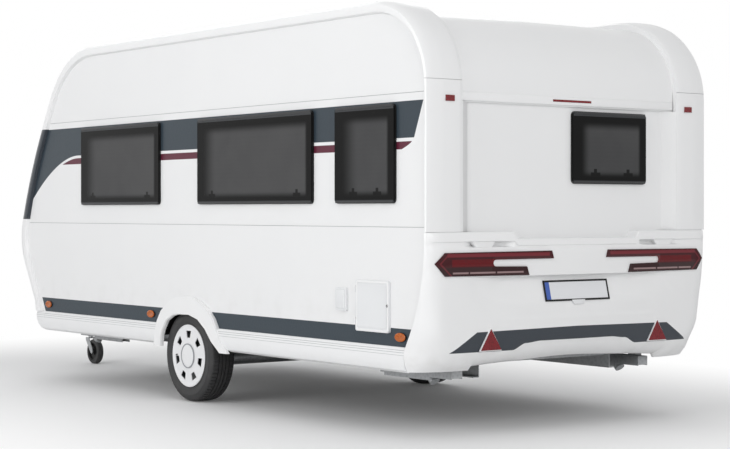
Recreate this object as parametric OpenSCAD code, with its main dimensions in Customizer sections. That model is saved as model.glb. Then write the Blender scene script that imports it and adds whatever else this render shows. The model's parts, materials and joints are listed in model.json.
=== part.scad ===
// Single-axle travel caravan, parked on its two road wheels and its jockey wheel.
// X runs forward to the coupling, Y to the left side, Z up from the ground.

/* [Body] */
// Length over everything, rear bumper to coupling nose
overall_length = 6390; // [6250:5:6600]
// Width over the edge mouldings
body_width = 2300; // [2200:5:2400]
// How far the edge mouldings stand proud of the side walls
moulding_proud = 28; // [20:1:36]
// Thickness of the sandwich walls and roof
wall_t = 32; // [24:1:40]
// Height of the side walls' top edge
wall_top = 2467; // [2400:1:2500]
// Height of the rails along the roof edges
rail_top = 2550; // [2520:1:2580]
// Height of the roof skin between the rails
roof_top = 2489; // [2480:1:2500]
// Height of the floor panel's top face
floor_top = 500; // [490:1:515]
// Thickness of the floor panel
floor_t = 42; // [30:1:50]
// Radius of the side wall's corner at the top rear
rear_corner_r = 470; // [400:5:500]
// Width of the edge mouldings over the roof and the rear wall
pillar_width = 270; // [250:1:300]

/* [Windows] */
// Bottom edge of the side windows
win_bottom = 1354; // [1330:1:1380]
// Height of the side windows
win_height = 578; // [540:1:590]
// Length of the long window
win_long = 1346; // [1300:1:1370]
// Length of the middle-sized window
win_medium = 1159; // [1100:1:1180]
// Length of the short windows
win_short = 586; // [540:1:600]
// Width of the frame's flange round each opening
win_flange = 28; // [22:1:34]
// How far a window stands out of its wall
win_proud = 20; // [16:1:24]
// Width of the window in the rear wall
rear_win_w = 630; // [600:1:650]
// Height of the window in the rear wall
rear_win_h = 440; // [420:1:460]

/* [Running gear] */
// Radius of the road tyres
tyre_r = 315; // [305:1:325]
// Width of the road tyres
tyre_w = 194; // [180:1:205]
// Radius of the wheel's outer rim edge
rim_r = 214; // [200:1:220]
// Distance from the body's rear plane to the axle
axle_x = 2668; // [2640:1:2700]
// Outer face of the road tyres from the centre line
tyre_face_y = 1104; // [1095:1:1110]
// Radius of the opening in the wheel arch trim
arch_r = 352; // [348:1:360]
// Height of the skirts' lower edge
skirt_bottom = 378; // [365:1:390]
// Height of the skirts' upper edge
skirt_top = 525; // [520:1:530]

/* [Drawbar] */
// Coupling ball centre above the ground
ball_z = 430; // [400:5:460]
// Radius of the jockey wheel
jockey_r = 104; // [95:1:110]
// Width of the jockey wheel
jockey_w = 52; // [40:1:60]
// Offset of the jockey wheel behind its stem
jockey_trail = 80; // [70:1:100]
// Outside radius of the jockey stem's fixed tube
jockey_tube_r = 24; // [22:0.5:30]

/* [Doors and legs] */
// Width of the entrance door
door_w = 600; // [560:1:620]
// Height of the entrance door
door_h = 1680; // [1650:5:1700]
// Running gap round the doors and lids
door_gap = 6; // [5:0.5:8]
// Length of a corner steady's leg from pivot to foot
steady_leg = 430; // [400:5:450]
// Distance of the corner steadies from the centre line
steady_y = 771; // [740:1:790]

/* [Hidden] */

$fn = 64;
rear_bulge = 45;                          // bumper behind the pillars' rear plane
rx = rear_bulge - overall_length / 2;     // X of the pillars' rear plane
half_w = body_width / 2;
inner_half = half_w - pillar_width;       // half the width of the roof and rear panel between the mouldings
wall_y = half_w - moulding_proud;         // outer face of the side walls
in_y = wall_y - wall_t;                   // inner face of the side walls
axle_cx = rx + axle_x;
arch_cx = rx + axle_x - 18;
floor_bottom = floor_top - floor_t;
seat = 0.3;                               // resting gap between a moving piece and its seat
front_seam_x = 4000;                      // where the roof panel meets the front wall
white = [0.93, 0.93, 0.93];
grey = [0.55, 0.56, 0.58];
dark = [0.12, 0.12, 0.13];

// Polyline with rounded corners: each vertex is [x, z, radius, steps]
function unit(v) = v / norm(v);
function corner(a, b, c) =
  let (
    u = unit([a[0] - b[0], a[1] - b[1]]), w = unit([c[0] - b[0], c[1] - b[1]]),
    half = acos(u * w) / 2, t = b[2] / tan(half),
    p = [b[0], b[1]] + u * t, m = unit(u + w) * (b[2] / sin(half)) + [b[0], b[1]],
    q = [b[0], b[1]] + w * t,
    a0 = atan2(p[1] - m[1], p[0] - m[0]), a1 = atan2(q[1] - m[1], q[0] - m[0]),
    turn = a1 - a0 > 180 ? a1 - a0 - 360 : a1 - a0 < -180 ? a1 - a0 + 360 : a1 - a0,
    n = b[3]
  )
  [for (i = [0 : n]) m + b[2] * [cos(a0 + turn * i / n), sin(a0 + turn * i / n)]];
function rounded(v) = concat(
  [[v[0][0], v[0][1]]],
  [for (i = [1 : len(v) - 2]) each corner(v[i - 1], v[i], v[i + 1])],
  [[v[len(v) - 1][0], v[len(v) - 1][1]]]
);
// A polyline moved sideways by d, to its right as it runs
function normal_at(p, i) =
  let (a = p[max(i - 1, 0)], b = p[min(i + 1, len(p) - 1)], t = unit(b - a)) [t[1], -t[0]];
function inset(p, d) = [for (i = [0 : len(p) - 1]) p[i] + d * normal_at(p, i)];
function reversed(p) = [for (i = [len(p) - 1 : -1 : 0]) p[i]];
function shifted(p) = [for (q = p) [q[0] + rx, q[1]]];

// Side outline, from the lower rear round the roof to the lower front.
// Measured forward from the pillars' rear plane.
edge_rear = 31;
path_wall = rounded([
  [218, floor_top], [edge_rear, 808, 1200, 8], [edge_rear, wall_top, rear_corner_r, 16],
  [4419, wall_top, 707, 14], [4953, 1577, 3200, 5], [5127, 1042, 404, 10], [4799, floor_top]
]);
// Outer line of the edge mouldings, with the same number of points
path_rail = rounded([
  [0, 1190], [0, rail_top, 520, 16],
  [4478, rail_top, 745, 14], [5049, 1616, 3600, 5], [5251, 1071, 391, 10], [4964, 600, 60, 3],
  [4964, skirt_top + seat]
]);
path_seam = rounded([
  [edge_rear, 1190], [edge_rear, wall_top, rear_corner_r, 16],
  [4419, wall_top, 707, 14], [4953, 1577, 3200, 5], [5127, 1042, 404, 10], [4858, 597, 60, 3],
  [4815, skirt_top + seat]
]);

module profile(points, y0, y1) {
  translate([0, y1, 0]) rotate([90, 0, 0]) linear_extrude(y1 - y0) polygon(shifted(points));
}
module box(x0, x1, y0, y1, z0, z1) {
  translate([x0, y0, z0]) cube([x1 - x0, y1 - y0, z1 - z0]);
}
// Box with its X values measured from the pillars' rear plane
module body_box(x0, x1, y0, y1, z0, z1) { box(rx + x0, rx + x1, y0, y1, z0, z1); }
// Rounded plate in XZ, from y0 to y1
module plate_xz(x0, x1, z0, z1, r, y0, y1) {
  translate([0, y1, 0]) rotate([90, 0, 0]) linear_extrude(y1 - y0)
    polygon(rounded_box(x0, x1, z0, z1, r));
}
function arc(cx, cy, r, a0, a1, n) =
  [for (i = [0 : n]) [cx + r * cos(a0 + (a1 - a0) * i / n), cy + r * sin(a0 + (a1 - a0) * i / n)]];
function rounded_box(x0, x1, z0, z1, r) = concat(
  arc(x1 - r, z0 + r, r, -90, 0, 6), arc(x1 - r, z1 - r, r, 0, 90, 6),
  arc(x0 + r, z1 - r, r, 90, 180, 6), arc(x0 + r, z0 + r, r, 180, 270, 6)
);
module mirrored_y(left) { if (left) children(); else mirror([0, 1, 0]) children(); }
// Closed skin over rings of equal length
module loft(rings) {
  n = len(rings[0]);
  m = len(rings);
  polyhedron(
    points = [for (r = rings) each r],
    faces = concat(
      [[for (j = [n - 1 : -1 : 0]) j]],
      [for (i = [0 : m - 2], j = [0 : n - 1]) each [
        [i * n + j, i * n + (j + 1) % n, (i + 1) * n + j],
        [i * n + (j + 1) % n, (i + 1) * n + (j + 1) % n, (i + 1) * n + j]]],
      [[for (j = [0 : n - 1]) (m - 1) * n + j]]
    )
  );
}

// Windows: [x0, x1] from the rear plane for the left side, then the right
win_top = win_bottom + win_height;
left_windows = [[312, 312 + win_short], [1139, 1139 + win_long], [3003, 3003 + win_medium]];
right_windows = [[560, 560 + win_long], [4000, 4000 + win_short]];
rear_win_y = -333;
rear_win_z = 1475;
front_win_w = 1500;
front_win_z = 1330;
front_win_h = 580;                        // along the slope of the nose
door_x = 3140;                            // rear edge of the door opening
door_z = 545;
hatch_x = [366, 690];
hatch_z = [600, 902];

module side_outline(y0, y1) { profile(path_wall, y0, y1); }

// Side walls with their openings
module window_cuts(list) {
  for (w = list)
    plate_xz(rx + w[0] + win_flange, rx + w[1] - win_flange, win_bottom + win_flange,
             win_top - win_flange, 30, in_y - 1, wall_y + 1);
}
module wheel_cut(y0, y1) {
  translate([arch_cx, y1, tyre_r]) rotate([90, 0, 0]) cylinder(r = arch_r + 20, h = y1 - y0);
}
module side_wall_left() {
  color(white) difference() {
    side_outline(in_y, wall_y);
    window_cuts(left_windows);
    wheel_cut(in_y - 1, wall_y + 1);
    plate_xz(rx + hatch_x[0] + 14, rx + hatch_x[1] - 14, hatch_z[0] + 14, hatch_z[1] - 14, 12,
             in_y - 1, wall_y + 1);
  }
  color(white) hatch_hinges_fixed();
}
module side_wall_right() {
  color(white) mirror([0, 1, 0]) {
    difference() {
      side_outline(in_y, wall_y);
      window_cuts(right_windows);
      wheel_cut(in_y - 1, wall_y + 1);
      plate_xz(rx + door_x, rx + door_x + door_w, door_z, door_z + door_h, 60, in_y - 1, wall_y + 1);
    }
    door_hinges_fixed();
  }
}
// Roof with the curved rear part, then the front wall, cut from one ring
roof_sink = 20;                           // roof panel below the side walls' edge, under its mouldings
roof_lap = 40;                            // raised middle of the roof laps over its edges by this much
module wall_ring(y, d) {
  profile(concat(inset(path_wall, d), reversed(inset(path_wall, d + wall_t))), -y, y);
}
module roof_panel() {
  color(white) difference() {
    union() {
      intersection() {
        wall_ring(in_y, roof_sink);
        body_box(0, front_seam_x, -in_y, in_y, 1985, wall_top + 1);
      }
      body_box(560, front_seam_x, -inner_half, inner_half, wall_top - roof_sink, roof_top);
    }
    body_box(600, front_seam_x - 40, roof_lap - inner_half, inner_half - roof_lap,
             wall_top - roof_sink - wall_t - 1, roof_top - wall_t);
    for (h = roof_holes)
      translate([rx + h[0], 0, wall_top]) cube([h[1], h[1], 200], center = true);
  }
}
roof_holes = [[1450, 400], [3200, 700]];
// Centre part of the front, between the edge mouldings
path_nose = rounded([
  [front_seam_x, roof_top], [4470, roof_top, 700, 14], [5022, 1616, 3600, 5], [5222, 1068, 380, 10],
  [4935, 597, 50, 3], [4935, skirt_top]
]);
path_wall_front = [for (p = path_wall) if (p[0] > front_seam_x) p];
module nose_strip(outer, y0, y1) {
  inner = [for (p = inset(path_wall, wall_t)) if (p[0] > front_seam_x) p];
  profile(
    concat([[front_seam_x, outer[0][1]]], outer, reversed(inner), [[front_seam_x, inner[0][1]]]), y0, y1);
}
locker_y = 760;
locker_z = [640, 1130];
module front_wall() {
  nose = [for (p = path_nose) if (p[0] > front_seam_x) p];
  color(white) difference() {
    union() {
      nose_strip(nose, -inner_half, inner_half);
      for (s = [0, 1]) mirror([0, s, 0]) nose_strip(path_wall_front, inner_half, in_y);
    }
    body_box(4700, 5400, -locker_y, locker_y, locker_z[0], locker_z[1]);
    front_window_cut();
  }
  color(white) for (y = lid_hinges)
    lid_knuckle(y - barrel, [[5168, 1164], [5174, 1150], [5204, 1124], [5216, 1130], [5184, 1164]]);
}
module front_window_cut() {
  half = front_win_w / 2;
  at_front_window() {
    plate_xz(-half - 2, half + 2, -2, front_win_h + 2, 28, -0.05, 60);
    plate_xz(win_flange - half - 0.05, half - win_flange + 0.05, win_flange - 0.05,
             front_win_h - win_flange + 0.05, 1, -150, 1);
  }
}
flat_x = 60;                              // rear panel's face between the pillars
step_z = 1098;                            // the panel steps forward behind the bumper
module rear_wall() {
  low = [for (p = path_wall) if (p[1] < step_z - 20 && p[0] < 1000) p];
  low_in = [for (p = inset(path_wall, wall_t)) if (p[1] < step_z - 20 && p[0] < 1000) p];
  color(white) difference() {
    union() {
      profile(concat(low, [[edge_rear + 1, step_z], [flat_x, step_z], [flat_x, 1985], [flat_x + 35, 1985],
                           [flat_x + 35, step_z - 6]], reversed(low_in)), -in_y, in_y);
      for (s = [0, 1]) mirror([0, s, 0]) translate([0, 0, 1190]) linear_extrude(1938.7 - 1190) polygon([
        for (p = [[70, 790], [flat_x, 800], [8, inner_half - seat], [34, inner_half - seat],
                  [34, in_y - 1], [70, in_y - 1]]) [p[0] + rx, p[1]]]);
    }
    body_box(0, 300, rear_win_y - rear_win_w / 2 + win_flange, rear_win_y + rear_win_w / 2 - win_flange,
             rear_win_z + win_flange, rear_win_z + rear_win_h - win_flange);
  }
}
module floor_panel() {
  color(grey) difference() {
    body_box(230, 4790, -wall_y, wall_y, floor_bottom, floor_top);
    for (s = [0, 1]) mirror([0, s, 0]) translate([arch_cx, wall_y + 10, tyre_r])
      rotate([90, 0, 0]) cylinder(r = arch_r + 20 + seat, h = wall_y + 10 - housing_y + seat);
  }
}

// Edge mouldings that run from the rear pillars over the roof edges to the front.
// t runs from the side wall's outline to the outer line.
edge_section = [
  [wall_y, 0.0005], [half_w - 4, 0.1], [half_w, 0.35], [half_w - 6, 0.65], [half_w - 28, 0.88],
  [half_w - 66, 0.98], [half_w - 130, 1], [960, 0.99], [905, 0.93], [inner_half, 0.8],
  [inner_half, 0.0005]
];
module edge_moulding() {
  loft([for (i = [len(path_rail) - 1 : -1 : 0]) [for (s = edge_section)
    [rx + path_seam[i][0] + (path_rail[i][0] - path_seam[i][0]) * s[1], s[0],
     path_seam[i][1] + (path_rail[i][1] - path_seam[i][1]) * s[1]]]]);
}
module edge_moulding_left() { color(white) edge_moulding(); }
module edge_moulding_right() { color(white) mirror([0, 1, 0]) edge_moulding(); }

// Moulding over the rear window, ending in a ledge
path_tail = rounded([[42, 1939], [35, 1975, 12, 3], [35, 2489, 455, 16], [560, 2489]]);
module rear_top_moulding() {
  seam = [for (p = inset(path_wall, roof_sink)) if (p[0] < 555 && p[1] > 1990) p];
  color(white) profile(
    concat(path_tail, [[560, seam[len(seam) - 1][1]]], reversed(seam),
           [[seam[0][0], 1985], [60, 1985], [60, 1939]]),
    -inner_half, inner_half);
}

// Closed shell between two stacks of open curves of equal length
module shell(outer, inner) {
  n = len(outer[0]);
  m = len(outer);
  k = n * m;
  polyhedron(
    points = concat([for (r = outer) each r], [for (r = inner) each r]),
    faces = concat(
      [for (i = [0 : m - 2], j = [0 : n - 2]) each [
        [i * n + j, (i + 1) * n + j, i * n + j + 1], [i * n + j + 1, (i + 1) * n + j, (i + 1) * n + j + 1],
        [k + i * n + j, k + i * n + j + 1, k + (i + 1) * n + j],
        [k + i * n + j + 1, k + (i + 1) * n + j + 1, k + (i + 1) * n + j]]],
      [for (j = [0 : n - 2], e = [0, 1]) let (a = e * (m - 1) * n + j, q = [a, a + 1, k + a + 1, k + a])
        each (e == 0 ? [[q[0], q[1], q[2]], [q[0], q[2], q[3]]] : [[q[0], q[2], q[1]], [q[0], q[3], q[2]]])],
      [for (i = [0 : m - 2], e = [0, 1]) let (a = i * n + e * (n - 1), q = [a, a + n, k + a + n, k + a])
        each (e == 1 ? [[q[0], q[1], q[2]], [q[0], q[2], q[3]]] : [[q[0], q[2], q[1]], [q[0], q[3], q[2]]])]
    )
  );
}
// Rear bumper: a shell lofted from level plan curves
function seam_x(z) = lookup(z, [for (i = [9 : -1 : 0]) [path_wall[i][1], path_wall[i][0]]]);
bumper_levels = [
  // height at the corner, rear face, half width, corner length across the width
  [376, 95, 1118, 350], [400, 62, 1128, 350], [430, 38, 1138, 320], [462, 20, 1143, 300],
  [494, 8, 1145, 270], [505, 4, 1145, 260], [521, 3, 1146, 240], [560, 1, 1147, 180],
  [592, 0, 1147, 150], [620, 0, 1147, 130], [666, -2, 1146, 130], [681, -3, 1146, 130],
  [708, -4, 1146, 130], [753, -6, 1146, 130], [799, -9, 1146, 130], [830, -12, 1146, 130],
  [866, -15, 1146, 130], [900, -18, 1146, 130], [926, -18, 1146, 130], [932, -18, 1146, 130],
  [981, -18, 1146, 130], [1062, -18, 1146, 130], [1100, -17, 1146, 130], [1108, -14, 1146, 130],
  [1128, -14, 1146, 130], [1136, -20, 1147, 130], [1176, -17, 1147, 130], [1188, -8, 1144, 128],
  [1189.5, 4, 1134, 120]
];
lamp_level = bumper_levels[21];
bumper_bow = 24;
bumper_t = 14;
top_z = bumper_levels[28][0];
lip_z = 494;                              // the lip's height at the corner
foot_z = bumper_levels[0][0];
band_z = 592;
// The bottom edge and the lip rise towards the middle; between the shelves the top edge is lower
function foot_at(y) = lookup(y, [[0, 441], [135, 439], [610, 417], [898, 398], [1061, foot_z]]);
function lip_at(y) = lookup(y, [[287, 544], [407, 535], [509, 498], [602, lip_z]]);
middle_top = [[1062, 1062], [1100, 1092], [1108, 1098], [1128, 1106], [1136, 1110], [1176, 1138],
              [1188, 1148], [top_z, 1150]];
function level_z(z, y) =
  z < lip_z ? foot_at(y) + (z - foot_z) * (lip_at(y) - foot_at(y)) / (lip_z - foot_z)
  : z < band_z ? lip_at(y) + (z - lip_z) * (band_z - lip_at(y)) / (band_z - lip_z)
  : z <= 1062 ? z
  : z + lookup(y, [[486, 1], [515, 0]]) * (lookup(z, middle_top) - z);
// Recess for the number plate: a shallow outer step, then a flat leaning plane
plate_lean = 0.24;
plate_foot = -24;
function plate_x(z) = plate_foot + plate_lean * (z - 753);
function clamp01(v) = max(0, min(1, v));
function step_w(z, y) = z < 690 || z > 930 ? 0 :
  let (o = lookup(z, [[708, 680], [753, 740], [830, 855], [926, 868]]),
       m = lookup(z, [[708, 560], [753, 690], [799, 785], [900, 850], [926, 850]]))
  clamp01((o - y) / (o - m));
function plane_w(z, y) = z < 740 || z > 930 ? 0 :
  let (m = lookup(z, [[753, 690], [799, 785], [900, 850], [926, 850]]),
       i = lookup(z, [[753, 400], [761, 500], [900, 600], [926, 610]]))
  clamp01((m - y) / (m - i));
// Hollows under the shelves for the hands
function grip_w(z, y) = z < 1105 || z > 1130 ? 0 : lookup(y, [[520, 0], [570, 1], [820, 1], [870, 0]]);
function face_x(l, y) =
  let (
    start = l[2] - l[3], bow = bumper_bow * lookup(y / start, [[0, 1], [0.5, 0.6], [1, 0]]),
    base = l[1] - bow, stepped = base + 6 * step_w(l[0], y), w = plane_w(l[0], y)
  )
  stepped * (1 - w) + plate_x(l[0]) * w + 40 * grip_w(l[0], y);
bumper_grid = [960, 900, 855, 810, 760, 700, 650, 605, 560, 515, 486, 450, 407, 371, 287, 130, 0];
function grid_y(l, g) = g <= 700 ? g : 700 + (g - 700) * min(1, (l[2] - l[3] - 715) / 260);
// The last level turns in to the wall; beside the pillars it stops short of them
function ledge_x(y) = lookup(y, [[780, flat_x - seat], [850, 14], [880, 8]]);
// Curve at one level, d inside the outer face
function plan(l, d) =
  let (
    s = seam_x(max(l[0], floor_top)) - 1.2, w = l[3] - d, end = l[0] == top_z,
    x = l[1] + d,
    p = concat(
      [for (a = [0 : 11.25 : 90]) [s - (s - x) * sin(a), l[2] - l[3] + w * cos(a), level_z(l[0], 1000)]],
      [for (g = bumper_grid) let (y = grid_y(l, g))
        [end ? ledge_x(y) : face_x(l, y) + d, y, level_z(l[0], y) - (end ? d * 0.6 : 0)]])
  )
  concat([for (q = p) [rx + q[0], q[1], q[2]]],
         [for (i = [len(p) - 2 : -1 : 0]) [rx + p[i][0], -p[i][1], p[i][2]]]);
module rear_bumper() {
  color(white) shell([for (l = bumper_levels) plan(l, 0)], [for (l = bumper_levels) plan(l, bumper_t)]);
}

// Side skirts below the walls
skirt_section = [
  [wall_y, skirt_top], [wall_y + 10, skirt_top], [wall_y + 14, skirt_top - 6],
  [wall_y + 14, skirt_top - 14], [wall_y + 19, skirt_top - 20], [wall_y + 22, 460],
  [wall_y + 18, 420], [wall_y + 6, 392], [wall_y - 16, skirt_bottom],
  [wall_y - 22, skirt_bottom + 4], [wall_y - 2, 396], [wall_y + 10, 425], [wall_y + 12, floor_bottom],
  [wall_y, floor_bottom]
];
module skirt_run(x0, x1) {
  translate([rx + x0, 0, 0]) rotate([90, 0, 90]) linear_extrude(x1 - x0) polygon(skirt_section);
}
valance_levels = [
  // height, front face, outer face, corner radius
  [skirt_bottom, 4868, 1104, 60], [396, 4905, 1128, 70], [425, 4936, 1140, 80], [460, 4958, 1144, 85],
  [498, 4969, 1143, 85], [skirt_top - 6, 4964, 1136, 80], [skirt_top - 1, 4960, 1132, 80]
];
valance_end = 500;
function valance_plan(l, d) =
  let (r = l[3] - d, cx = l[1] - l[3], cy = l[2] - l[3])
  concat([[rx + l[1] - d, valance_end, l[0]]],
         [for (a = [0 : 15 : 90]) [rx + cx + r * cos(a), cy + r * sin(a), l[0]]],
         [[rx + 4770, l[2] - d, l[0]]]);
module skirt() {
  difference() {
    skirt_run(219, 4769);
    translate([0, wall_y + 60, 0]) rotate([90, 0, 0])
      linear_extrude(120) polygon(shifted(inset(arch_outer, -seat)));
  }
  shell([for (l = valance_levels) valance_plan(l, 0)], [for (l = valance_levels) valance_plan(l, 10)]);
}
module skirt_left() { color(white) skirt(); }
module skirt_right() { color(white) mirror([0, 1, 0]) skirt(); }

// Wheel arch trims
arch_outer = [
  [2098, 360], [2168, 430], [2238, 529], [2277, 588], [2344, 646], [2452, 700], [2542, 722], [2673, 724],
  [2775, 714], [2868, 681], [2963, 618], [3022, 540], [3052, 460], [3064, 360]
];
arch_inner = [
  [2178, 350], [2224, 383], [2301, 434], [2379, 512], [2477, 574], [2597, 601], [2739, 598],
  [2812, 583], [2885, 548], [2937, 481], [2958, 437], [2968, 350]
];
module wheel_arch() {
  intersection() {
    difference() {
      union() {
        profile(arch_outer, wall_y, half_w - 8);
        profile(inset(arch_outer, 6), wall_y, half_w);
      }
      profile(arch_inner, 0, half_w + 1);
      profile(inset(arch_inner, -5), half_w - 7, half_w + 1);
    }
    box(rx + 2000, rx + 3200, 0, half_w + 10, 366, 1000);
  }
}
module wheel_arch_left() { color(white) wheel_arch(); }
module wheel_arch_right() { color(white) mirror([0, 1, 0]) wheel_arch(); }
housing_y = 820;
module wheel_housings() {
  color(dark) for (s = [0, 1]) mirror([0, s, 0]) difference() {
    translate([arch_cx, wall_y, tyre_r]) rotate([90, 0, 0]) cylinder(r = arch_r + 20, h = wall_y - housing_y);
    translate([arch_cx, wall_y + 1, tyre_r]) rotate([90, 0, 0])
      cylinder(r = arch_r + 14, h = wall_y - housing_y - 5);
    box(arch_cx - 500, arch_cx + 500, 0, 1300, -100, 440);
  }
}

// Framed windows: a flange with a sleeve through the wall, and an acrylic pane over it
module side_frame(w) {
  x0 = rx + w[0];
  x1 = rx + w[1];
  difference() {
    union() {
      plate_xz(x0, x1, win_bottom, win_top, 26, wall_y, wall_y + win_proud - 8);
      plate_xz(x0 + win_flange, x1 - win_flange, win_bottom + win_flange, win_top - win_flange, 30,
               in_y - 6, wall_y + 1);
    }
    plate_xz(x0 + 44, x1 - 44, win_bottom + 44, win_top - 44, 24, in_y - 10, wall_y + 40);
  }
}
module side_pane(w) {
  plate_xz(rx + w[0] + 2, rx + w[1] - 2, win_bottom + 2, win_top - 2, 24,
           wall_y + win_proud - 8, wall_y + win_proud);
}
module side_blind(w) {
  plate_xz(rx + w[0] + 44, rx + w[1] - 44, win_bottom + 44, win_top - 44, 24, in_y - 2, in_y + 4);
}
module window_frames_left() { color(dark) for (w = left_windows) side_frame(w); }
module window_panes_left() { color(dark) for (w = left_windows) side_pane(w); }
module window_frames_right() { color(dark) mirror([0, 1, 0]) for (w = right_windows) side_frame(w); }
module window_panes_right() { color(dark) mirror([0, 1, 0]) for (w = right_windows) side_pane(w); }

// Windows in the rear and front walls, built lying in XZ and turned into place
module end_frame(w, h, depth) {
  difference() {
    union() {
      plate_xz(-w / 2, w / 2, 0, h, 26, 0, win_proud - 8);
      plate_xz(-w / 2 + win_flange, w / 2 - win_flange, win_flange, h - win_flange, 1, -depth, 1);
    }
    plate_xz(-w / 2 + 44, w / 2 - 44, 44, h - 44, 24, -depth - 10, 40);
  }
}
module at_rear_window() {
  translate([rx + 60, rear_win_y, rear_win_z]) rotate([0, 0, 90]) children();
}
front_lean = 26.2;
module at_front_window() {
  translate([rx + 5123, 0, front_win_z]) rotate([0, 0, -90]) rotate([front_lean, 0, 0]) children();
}
module window_frames_ends() {
  color(dark) {
    at_rear_window() end_frame(rear_win_w, rear_win_h, 40);
    at_front_window() end_frame(front_win_w, front_win_h, 40);
  }
}
module window_panes_ends() {
  color(dark) {
    at_rear_window() plate_xz(-rear_win_w / 2 + 2, rear_win_w / 2 - 2, 2, rear_win_h - 2, 24,
                              win_proud - 8, win_proud);
    at_front_window() plate_xz(-front_win_w / 2 + 2, front_win_w / 2 - 2, 2, front_win_h - 2, 24,
                               win_proud - 8, win_proud);
  }
}
module window_blinds() {
  color(grey) {
    for (w = left_windows) side_blind(w);
    mirror([0, 1, 0]) for (w = right_windows) side_blind(w);
    at_rear_window() plate_xz(-rear_win_w / 2 + 44, rear_win_w / 2 - 44, 44, rear_win_h - 44, 24, -36, -30);
  }
}

// Lamps and reflectors on the bumper, drawn in YZ and set on its rear face
module on_rear(x, t) {
  translate([rx + x, 0, 0]) rotate([90, 0, -90]) linear_extrude(t) children();
}
// polygon points are [y, z]; on_rear looks from behind, so y is turned round
module yz(points) { polygon([for (p = points) [-p[0], p[1]]]); }
light_tip = 1100;
module tail_light() {
  outer = [for (q = plan(lamp_level, -10)) if (q[1] >= 0) [q[0], q[1]]];
  inner = [for (q = plan(lamp_level, -1)) if (q[1] >= 0) [q[0], q[1]]];
  intersection() {
    translate([0, 0, 900]) linear_extrude(220) polygon(concat(outer, reversed(inner)));
    on_rear(200, 400) yz([
      [light_tip, 1010], [1035, 1072], [232, 1076], [218, 1030], [560, 1028], [546, 990],
      [428, 986], [410, 934], [1035, 938]
    ]);
  }
}
module tail_light_left() { color([0.5, 0.05, 0.08]) tail_light(); }
module tail_light_right() { color([0.5, 0.05, 0.08]) mirror([0, 1, 0]) tail_light(); }
module marker_lamps() {
  color([0.5, 0.05, 0.08]) {
    for (s = [-1, 1]) body_box(-6, 0, s * 981 - 32, s * 981 + 32, 1936, 1970);
    body_box(26, 34.7, -158, 158, 1964, 1978);
  }
}
module side_markers() {
  color([0.9, 0.45, 0.05]) for (s = [0, 1], x = [270, s == 0 ? 3135 : 3092, 4724]) mirror([0, s, 0])
    plate_xz(rx + x - 42, rx + x + 42, 562, 602, 14, wall_y, wall_y + 14);
}
module reflector_triangles() {
  color([0.7, 0.05, 0.08]) for (s = [-1, 1]) on_rear(-9.9, 7)
    yz([[s * 686 - 78, 505], [s * 686 + 78, 505], [s * 686, 628]]);
}
module number_plate() {
  color([0.9, 0.9, 0.9]) translate([rx + plate_x(776), 0, 776]) rotate([0, atan(plate_lean), 0])
    box(-6, -seat, -260, 260, 0, 118);
}
module roof_hatches() {
  color([0.85, 0.86, 0.88]) for (h = roof_holes) translate([rx + h[0], 0, roof_top]) {
    linear_extrude(14) square(h[1] + 60, center = true);
    translate([0, 0, 14]) linear_extrude(28, scale = 0.9) square(h[1] + 30, center = true);
  }
}
module side_vents() {
  color(white) {
    plate_xz(rx + 784, rx + 895, 712, 850, 10, wall_y, wall_y + 16);
    mirror([0, 1, 0]) for (z = [900, 1380])
      plate_xz(rx + 2260, rx + 2720, z, z + 190, 20, wall_y, wall_y + 14);
  }
}
module gas_locker_bulkhead() {
  color(white) body_box(4560, 4580, -in_y, in_y, floor_top, 1160);
}

// Chassis: two long members, cross members and the A-shaped drawbar
rail_y = 540;
rail_z0 = floor_bottom - 140;
apex_x = 5930;
knee_x = 4560;
apex_y = 70;
rail_depth = 46;
rail_sheet = 5;
drawbar_angle = atan2(rail_y - apex_y, apex_x - knee_x);
// Plan line of a chassis member, d outside its web, run on past its ends by e
function rail_line(d, e = 0) = [
  [rx + 260 - e, rail_y + d], [rx + knee_x + d * tan(drawbar_angle / 2), rail_y + d],
  [rx + apex_x + e, apex_y + d / cos(drawbar_angle) - e * tan(drawbar_angle)]
];
module chassis_side() {
  difference() {
    translate([0, 0, rail_z0]) linear_extrude(140)
      polygon(concat(rail_line(0), reversed(rail_line(rail_depth))));
    translate([0, 0, rail_z0 + rail_sheet]) linear_extrude(140 - 2 * rail_sheet)
      polygon(concat(rail_line(rail_sheet, 9), reversed(rail_line(rail_depth + 9, 9))));
    for (i = [0 : 5]) translate([rx + 620 + i * 640, rail_y - 1, rail_z0 + 70])
      rotate([-90, 0, 0]) cylinder(r = 38, h = 8);
  }
}
module chassis_left() { color(grey) chassis_side(); }
module chassis_right() { color(grey) mirror([0, 1, 0]) chassis_side(); }
module cross_members() {
  color(grey) {
    for (x = [300, 1560, 3560, 4500]) body_box(x, x + 40, -rail_y, rail_y, floor_bottom - 60, floor_bottom);
    for (s = [-1, 1], x = [1560, 3560]) translate([rx + x, s * (rail_y + 46 + 250), floor_bottom - 20])
      cube([40, 500, 40], center = true);
  }
}
axle_z = 268;
swing_arm = 170;
stub_y = tyre_face_y - 148;
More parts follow.
